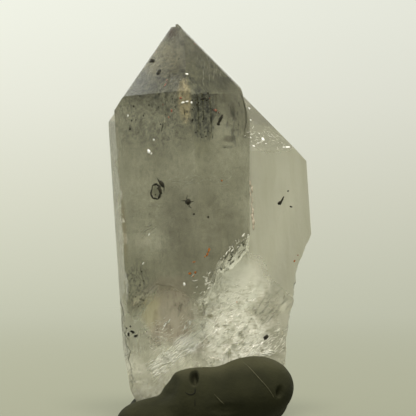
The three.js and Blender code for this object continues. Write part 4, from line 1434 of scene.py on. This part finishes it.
putty_points = lie_in_part(ball_points(putty_places))
putty_mesh = mesh_from("display_putty_look", putty_points, ball_faces(PUTTY_ROWS, PUTTY_COLUMNS))
putty_material, tree = new_material("oil-bound putty, pressed by hand")
putty_mesh.materials.append(putty_material)
putty = add_object("display_putty_look", putty_mesh)
socket_faces = [face_of(BACK_INDIVIDUAL, name, False) for name in PRISM_FACES]
socket_faces += [side_face(-1, *places) for places in FOOT_CORNER]
socket_faces += [side_face(1, *SOCKET_RIGHT), flat_face(0, -90, -FOOT_HEIGHT)]
socket = faceted_body("socket", socket_faces, "broken", gap=SOCKET_GAP)
socket.data.vertices.foreach_set("co", stand(places_of(socket.data)).ravel())
combine(putty, socket, "DIFFERENCE")
putty.data.materials.clear()
putty.data.materials.append(putty_material)
shade_smooth(putty.data)
putty.data.set_sharp_from_angle(angle=PUTTY_SHARP_EDGE)
print("putty:", len(putty.data.polygons), "faces")

# %% [markdown]
# ## The putty's material
#
# Oil-bound putty is almost black-green, with hardly any shine, because its skin is rough with chalk
# grains. A paler tone is laid where it faces up, more on its upper part than low down: it is partly
# fine dust and partly a painted light on the lit top rim. Its share comes from the surface normal and
# the height, so it fits any form of the lump. Painting it by hand would have to be done again with
# every new dent.

# %% The putty's material
PUTTY_TONES, DUST_AND_RIM_LIGHT_TONE = ("1c1d13", "353522"), "66644c"
SMEAR_NOISE = {"Scale": 450.0, "Detail": 6.0}
CHALK_NOISE = {"Scale": 3000.0, "Detail": 4.0, "Roughness": 0.65}
DUST_AND_RIM_LIGHT_BY_NORMAL = {"From Min": 0.45, "From Max": 1.0, "To Max": 0.26}
DUST_AND_RIM_LIGHT_BY_HEIGHT = {"From Min": 0.003, "From Max": 0.006}
CHALK_BUMP = {"Strength": 0.6, "Distance": 0.00015}
PUTTY_SKIN = {"Roughness": 0.85, "Specular IOR Level": 0.12}

# The eye gets a soft, heavy, dull thing, against which the crystal looks hard and bright.
coordinates = add_node(tree, "ShaderNodeTexCoord", {}, {}).outputs["Object"]
smear = add_node(tree, "ShaderNodeTexNoise", {}, {"Vector": coordinates, **SMEAR_NOISE}).outputs["Fac"]
tones = {FACTOR: smear, COLOUR_A: linear(PUTTY_TONES[0]), COLOUR_B: linear(PUTTY_TONES[1])}
tone = add_node(tree, "ShaderNodeMix", BLEND, tones).outputs[MIXED_COLOUR]
# Painted light: the pale tone on faces that look up, high on the lump, is partly dust and partly the light on
# the top rim.
upward = add_node(tree, "ShaderNodeNewGeometry", {}, {}).outputs["Normal"]
upward = add_node(tree, "ShaderNodeSeparateXYZ", {}, {0: upward}).outputs["Z"]
dust_and_rim_light = {"Value": upward, **DUST_AND_RIM_LIGHT_BY_NORMAL}
dust_and_rim_light = add_node(tree, "ShaderNodeMapRange", {"interpolation_type": "SMOOTHSTEP"}, dust_and_rim_light).outputs[0]
rise = add_node(tree, "ShaderNodeSeparateXYZ", {}, {0: coordinates}).outputs["Z"]
rise = add_node(tree, "ShaderNodeMapRange", {}, {"Value": rise, **DUST_AND_RIM_LIGHT_BY_HEIGHT}).outputs[0]
dust_and_rim_light = add_node(tree, "ShaderNodeMath", {"operation": "MULTIPLY"}, {0: dust_and_rim_light, 1: rise}).outputs[0]
dust_and_rim_lit = {FACTOR: dust_and_rim_light, COLOUR_A: tone, COLOUR_B: linear(DUST_AND_RIM_LIGHT_TONE)}
tone = add_node(tree, "ShaderNodeMix", BLEND, dust_and_rim_lit).outputs[MIXED_COLOUR]
chalky = add_node(tree, "ShaderNodeTexNoise", {}, {"Vector": coordinates, **CHALK_NOISE}).outputs["Fac"]
bump = add_node(tree, "ShaderNodeBump", {}, {"Height": chalky, **CHALK_BUMP}).outputs[0]
dull = add_node(tree, "ShaderNodeBsdfPrincipled", {}, {"Base Color": tone, "Normal": bump, **PUTTY_SKIN})
add_node(tree, "ShaderNodeOutputMaterial", {}, {"Surface": dull.outputs[0]})

# %% [markdown]
# ## Fibres and cracks on the putty
#
# Two cotton fibres stick to the putty's front, one long and one short. Below the round dent a
# hook-shaped crack runs in its skin. They are the same thin tubes as in the crystal, laid on the
# putty's own places. Curves with a bevel would have to be turned into meshes first.

# %% Fibres and cracks
FIBRES = [
    ([(3.6, 6.9), (4.4, 6.55), (5.1, 5.9), (5.7, 5.2), (6.3, 4.5), (6.9, 3.8), (7.25, 3.2)], 0.028),
    ([(1.4, 3.65), (1.75, 3.3), (2.05, 2.95), (2.35, 2.7)], 0.026),
]
PUTTY_CRACKS = [
    ([(-0.5, 4.5), (-0.42, 4.1), (-0.48, 3.75), (-0.75, 3.62), (-1.15, 3.68), (-1.4, 3.85)], 0.06),
    ([(-0.45, 3.2), (-0.42, 2.8), (-0.45, 2.5)], 0.04),
]
FIBRE_PLACES, SMOOTHINGS = 24, 3
FIBRE_LIFT = 0.06
FRONT_PREFERENCE = 0.001


def on_putty(across, high):
    """The place on the putty's front whose across and height are nearest, the frontmost of those."""
    front = putty_places[in_front]
    far = (front[:, 0] - across) ** 2 + (front[:, 2] - high) ** 2
    return front[np.argmin(far + FRONT_PREFERENCE * front[:, 1])]


def fine_path(path, count):
    """The path at evenly spaced shares of the way from its first place to its last."""
    path = np.array(path)
    share = np.linspace(0, len(path) - 1, count)
    return np.stack([np.interp(share, np.arange(len(path)), path[:, i]) for i in (0, 1)], axis=1)


def smoothed(line):
    """Three times over, each place but the ends becomes a quarter of each neighbour and half of itself."""
    for _ in range(SMOOTHINGS):
        line = np.concatenate([line[:1], (line[:-2] + 2 * line[1:-1] + line[2:]) / 4, line[-1:]])
    return line


def threads_on_putty(table, lift):
    """A thread along each path, lifted off the putty towards the front."""
    made = []
    for path, radius in table:
        line = smoothed(np.array([on_putty(*place) for place in fine_path(path, FIBRE_PLACES)]))
        made.append(thread(line + FACING * lift, FACING, radius))
    return made


# The fibre is a pale, matt hair that gives the eye the scale of the whole object.
pale_fibre = plain_mineral("cotton fibre", "4d4c3a", "6a6852", 0.3, 0.8)
# The crack is nearly black, because no light comes out of it.
dark_crack = plain_mineral("crack in dull putty", "0d0d09", "191912", 0.3, 0.9)
joined("putty_fibres", threads_on_putty(FIBRES, FIBRE_LIFT), pale_fibre, lie_in_part)
joined("putty_cracks", threads_on_putty(PUTTY_CRACKS, 0.0), dark_crack, lie_in_part)
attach(putty, "root")
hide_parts("display_putty")

# %% [markdown]
# ## A light tent
#
# A clear crystal shows what is round it, so the studio is a tent: a pale floor that bends up into pale
# walls and a roof, all of them glowing. The wall behind is brightest. The side behind the camera and
# the roof are dimmer, which keeps the crystal's body and the putty darker than the backdrop. A few
# lamps would show as hard spots in the flat faces. The glow is a colour for each point of the tent,
# listed by the steepness of the line of sight from the photograph's distance. Close to the object the
# floor also takes a shadow.

# %% The tent
TENT_PROFILE = np.array([
    (0, 0), (20, 0), (40, 0), (60, 0), (80, 0), (110, 0), (150, 0), (200, 0), (260, 0), (320, 0), (370, 4),
    (410, 16), (435, 36), (447, 60), (450, 90), (450, 140), (450, 220), (450, 320), (430, 420), (370, 520),
    (260, 590), (130, 620), (0, 630),
])
TENT_COLUMNS, TENT_FINER = 96, 4
EYE_OUT, EYE_HIGH = 200.0, 21.6
GLOW_BY_SIGHT = [
    (-0.3, "fcfdf4"), (-0.1015, "f1f3e6"), (-0.054, "e8e9db"), (-0.004, "d9dac8"), (0.046, "c8cab5"),
    (0.096, "b5b7a1"), (0.12, "acae98"),
]
FRONT_GLOW, FRONT_START, FRONT_LEAST_OUT, FRONT_SIGHT = 0.6, (0.0, 0.8), 60, (-0.06, 0.1)
ROOF_GLOW, ROOF_START = 0.3, (380, 540)
UPPER_BOOST, UPPER_START, UPPER_BACK = 1.0, (110, 210), (-300, 100)
LEFT_TO_RIGHT, SIDE_REACH, SIDE_EVEN = 0.13, 140, 0.45
SHADED_SHARE, SHADED_REACH, FLOOR_TOP = 0.5, (60, 220), 1
TENT_LIGHT = 1.64


def glow_of(stops, value):
    """The linear colour between the two stops that the value lies between."""
    colours = np.array([linear(colour)[:3] for _, colour in stops])
    return np.stack([np.interp(value, [stop for stop, _ in stops], colours[:, i]) for i in range(3)], axis=-1)


steps = np.linspace(0, len(TENT_PROFILE) - 1, TENT_FINER * len(TENT_PROFILE))
tent_out, tent_high = [np.interp(steps, np.arange(len(TENT_PROFILE)), TENT_PROFILE[:, i]) for i in (0, 1)]
around = np.linspace(0, 2 * np.pi, TENT_COLUMNS, endpoint=False)
tent_sides = [np.outer(tent_out, np.cos(around)), np.outer(tent_out, np.sin(around))]
tent_grid = np.stack([*tent_sides, np.outer(tent_high, np.ones(TENT_COLUMNS))], axis=-1)
tent_mesh = mesh_from("light_tent", ball_points(tent_grid) * MM, ball_faces(len(steps), TENT_COLUMNS))
tent_mesh.flip_normals()
shade_smooth(tent_mesh)
tent_x, tent_y, tent_z = (places_of(tent_mesh) / MM).T
out = np.hypot(tent_x, tent_y)
sight = (EYE_HIGH - tent_z) / (EYE_OUT + out)
in_front_half = smooth_step(*FRONT_START, -tent_y / np.maximum(out, FRONT_LEAST_OUT))
dimmed = 1 - (1 - FRONT_GLOW) * in_front_half * (1 - smooth_step(*FRONT_SIGHT, sight))
dimmed = dimmed * (1 - (1 - ROOF_GLOW) * smooth_step(*ROOF_START, tent_z))
dimmed = dimmed * (1 + UPPER_BOOST * smooth_step(*UPPER_START, tent_z) * smooth_step(*UPPER_BACK, tent_y))
sideways = (1 - LEFT_TO_RIGHT * np.tanh(tent_x / SIDE_REACH)) / (1 + LEFT_TO_RIGHT * SIDE_EVEN)
glow = glow_of(GLOW_BY_SIGHT, sight) * (dimmed * sideways)[:, None]
shaded = SHADED_SHARE * (1 - smooth_step(*SHADED_REACH, out)) * (tent_z < FLOOR_TOP)
paints = {"glow": glow * (1 - shaded)[:, None], "paint": glow * shaded[:, None] / TENT_LIGHT}
for name, colours in paints.items():
    painted = tent_mesh.attributes.new(name, "FLOAT_COLOR", "POINT")
    opaque = np.concatenate([colours, np.ones((len(glow), 1))], axis=1)
    painted.data.foreach_set("color", opaque.astype(np.float32).ravel())

# The eye gets an even, shadowless backdrop that grows lighter upwards, as behind a lit specimen.
cloth, tree = new_material("white tent cloth, lit from outside")
glow_colour, paint_colour = [
    add_node(tree, "ShaderNodeAttribute", {"attribute_name": name}, {}).outputs["Color"] for name in paints
]
light = add_node(tree, "ShaderNodeEmission", {}, {"Color": glow_colour, "Strength": 1.0})
matte = add_node(tree, "ShaderNodeBsdfDiffuse", {}, {"Color": paint_colour})
both = add_node(tree, "ShaderNodeAddShader", {}, {0: light.outputs[0], 1: matte.outputs[0]})
add_node(tree, "ShaderNodeOutputMaterial", {}, {"Surface": both.outputs[0]})
cloth.cycles.emission_sampling = "NONE"
tent_mesh.materials.append(cloth)
tent = add_object("light_tent", tent_mesh)
print("tent:", len(tent_mesh.polygons), "faces")

# %% [markdown]
# ## A soft key light
#
# One large soft light hangs high above the camera. It is what the little open cracks and the broken
# facets glint with, and it puts a pale rim on the putty while its front stays dark. A small lamp
# would draw its own hard shadow on the floor, which the photograph doesn't have.

# %% The key light
KEY_PLACE = (10.0, -190.0, 340.0)
KEY_AIM = (0, 0, 20)
KEY_SIZE = 130.0
KEY_POWER = 1.55
key_data = bpy.data.lights.new("key", "AREA")
key_data.size = KEY_SIZE * MM
key_data.energy = KEY_POWER
key_data.color = linear("fffaf0")[:3]
key = bpy.data.objects.new("key", key_data)
key.location = np.array(KEY_PLACE) * MM
key.rotation_euler = (Vector(KEY_AIM) - Vector(KEY_PLACE)).to_track_quat("-Z", "Y").to_euler()
bpy.context.scene.collection.objects.link(key)

# %% [markdown]
# ## The camera
#
# The photograph looks level at the crystal from close by, with the crystal near the middle. The long
# lens keeps the tall sides from leaning. Light has to pass many faces in a clear solid, so it may be
# bent 24 times before it is given up.

# %% Camera and size
CAMERA_PLACE = np.array([-0.215, -202.488, 21.6])
LENS = 173.08
SENSOR = 36.0
NEAR_LIMIT = 0.005
LEVEL_LOOK = math.radians(90)
CLEAR_BOUNCES, DIFFUSE_BOUNCES, GLOSSY_BOUNCES = 24, 4, 8
camera_data = bpy.data.cameras.new("camera")
camera_data.lens = LENS
camera_data.sensor_width = SENSOR
camera_data.clip_start = NEAR_LIMIT
camera = bpy.data.objects.new("camera", camera_data)
camera.location = CAMERA_PLACE * MM
camera.rotation_euler = (LEVEL_LOOK, 0, 0)
scene = bpy.context.scene
scene.collection.objects.link(camera)
scene.camera = camera
scene.view_settings.view_transform = "Standard"
scene.cycles.max_bounces = CLEAR_BOUNCES
scene.cycles.transmission_bounces = CLEAR_BOUNCES
scene.cycles.diffuse_bounces = DIFFUSE_BOUNCES
scene.cycles.glossy_bounces = GLOSSY_BOUNCES
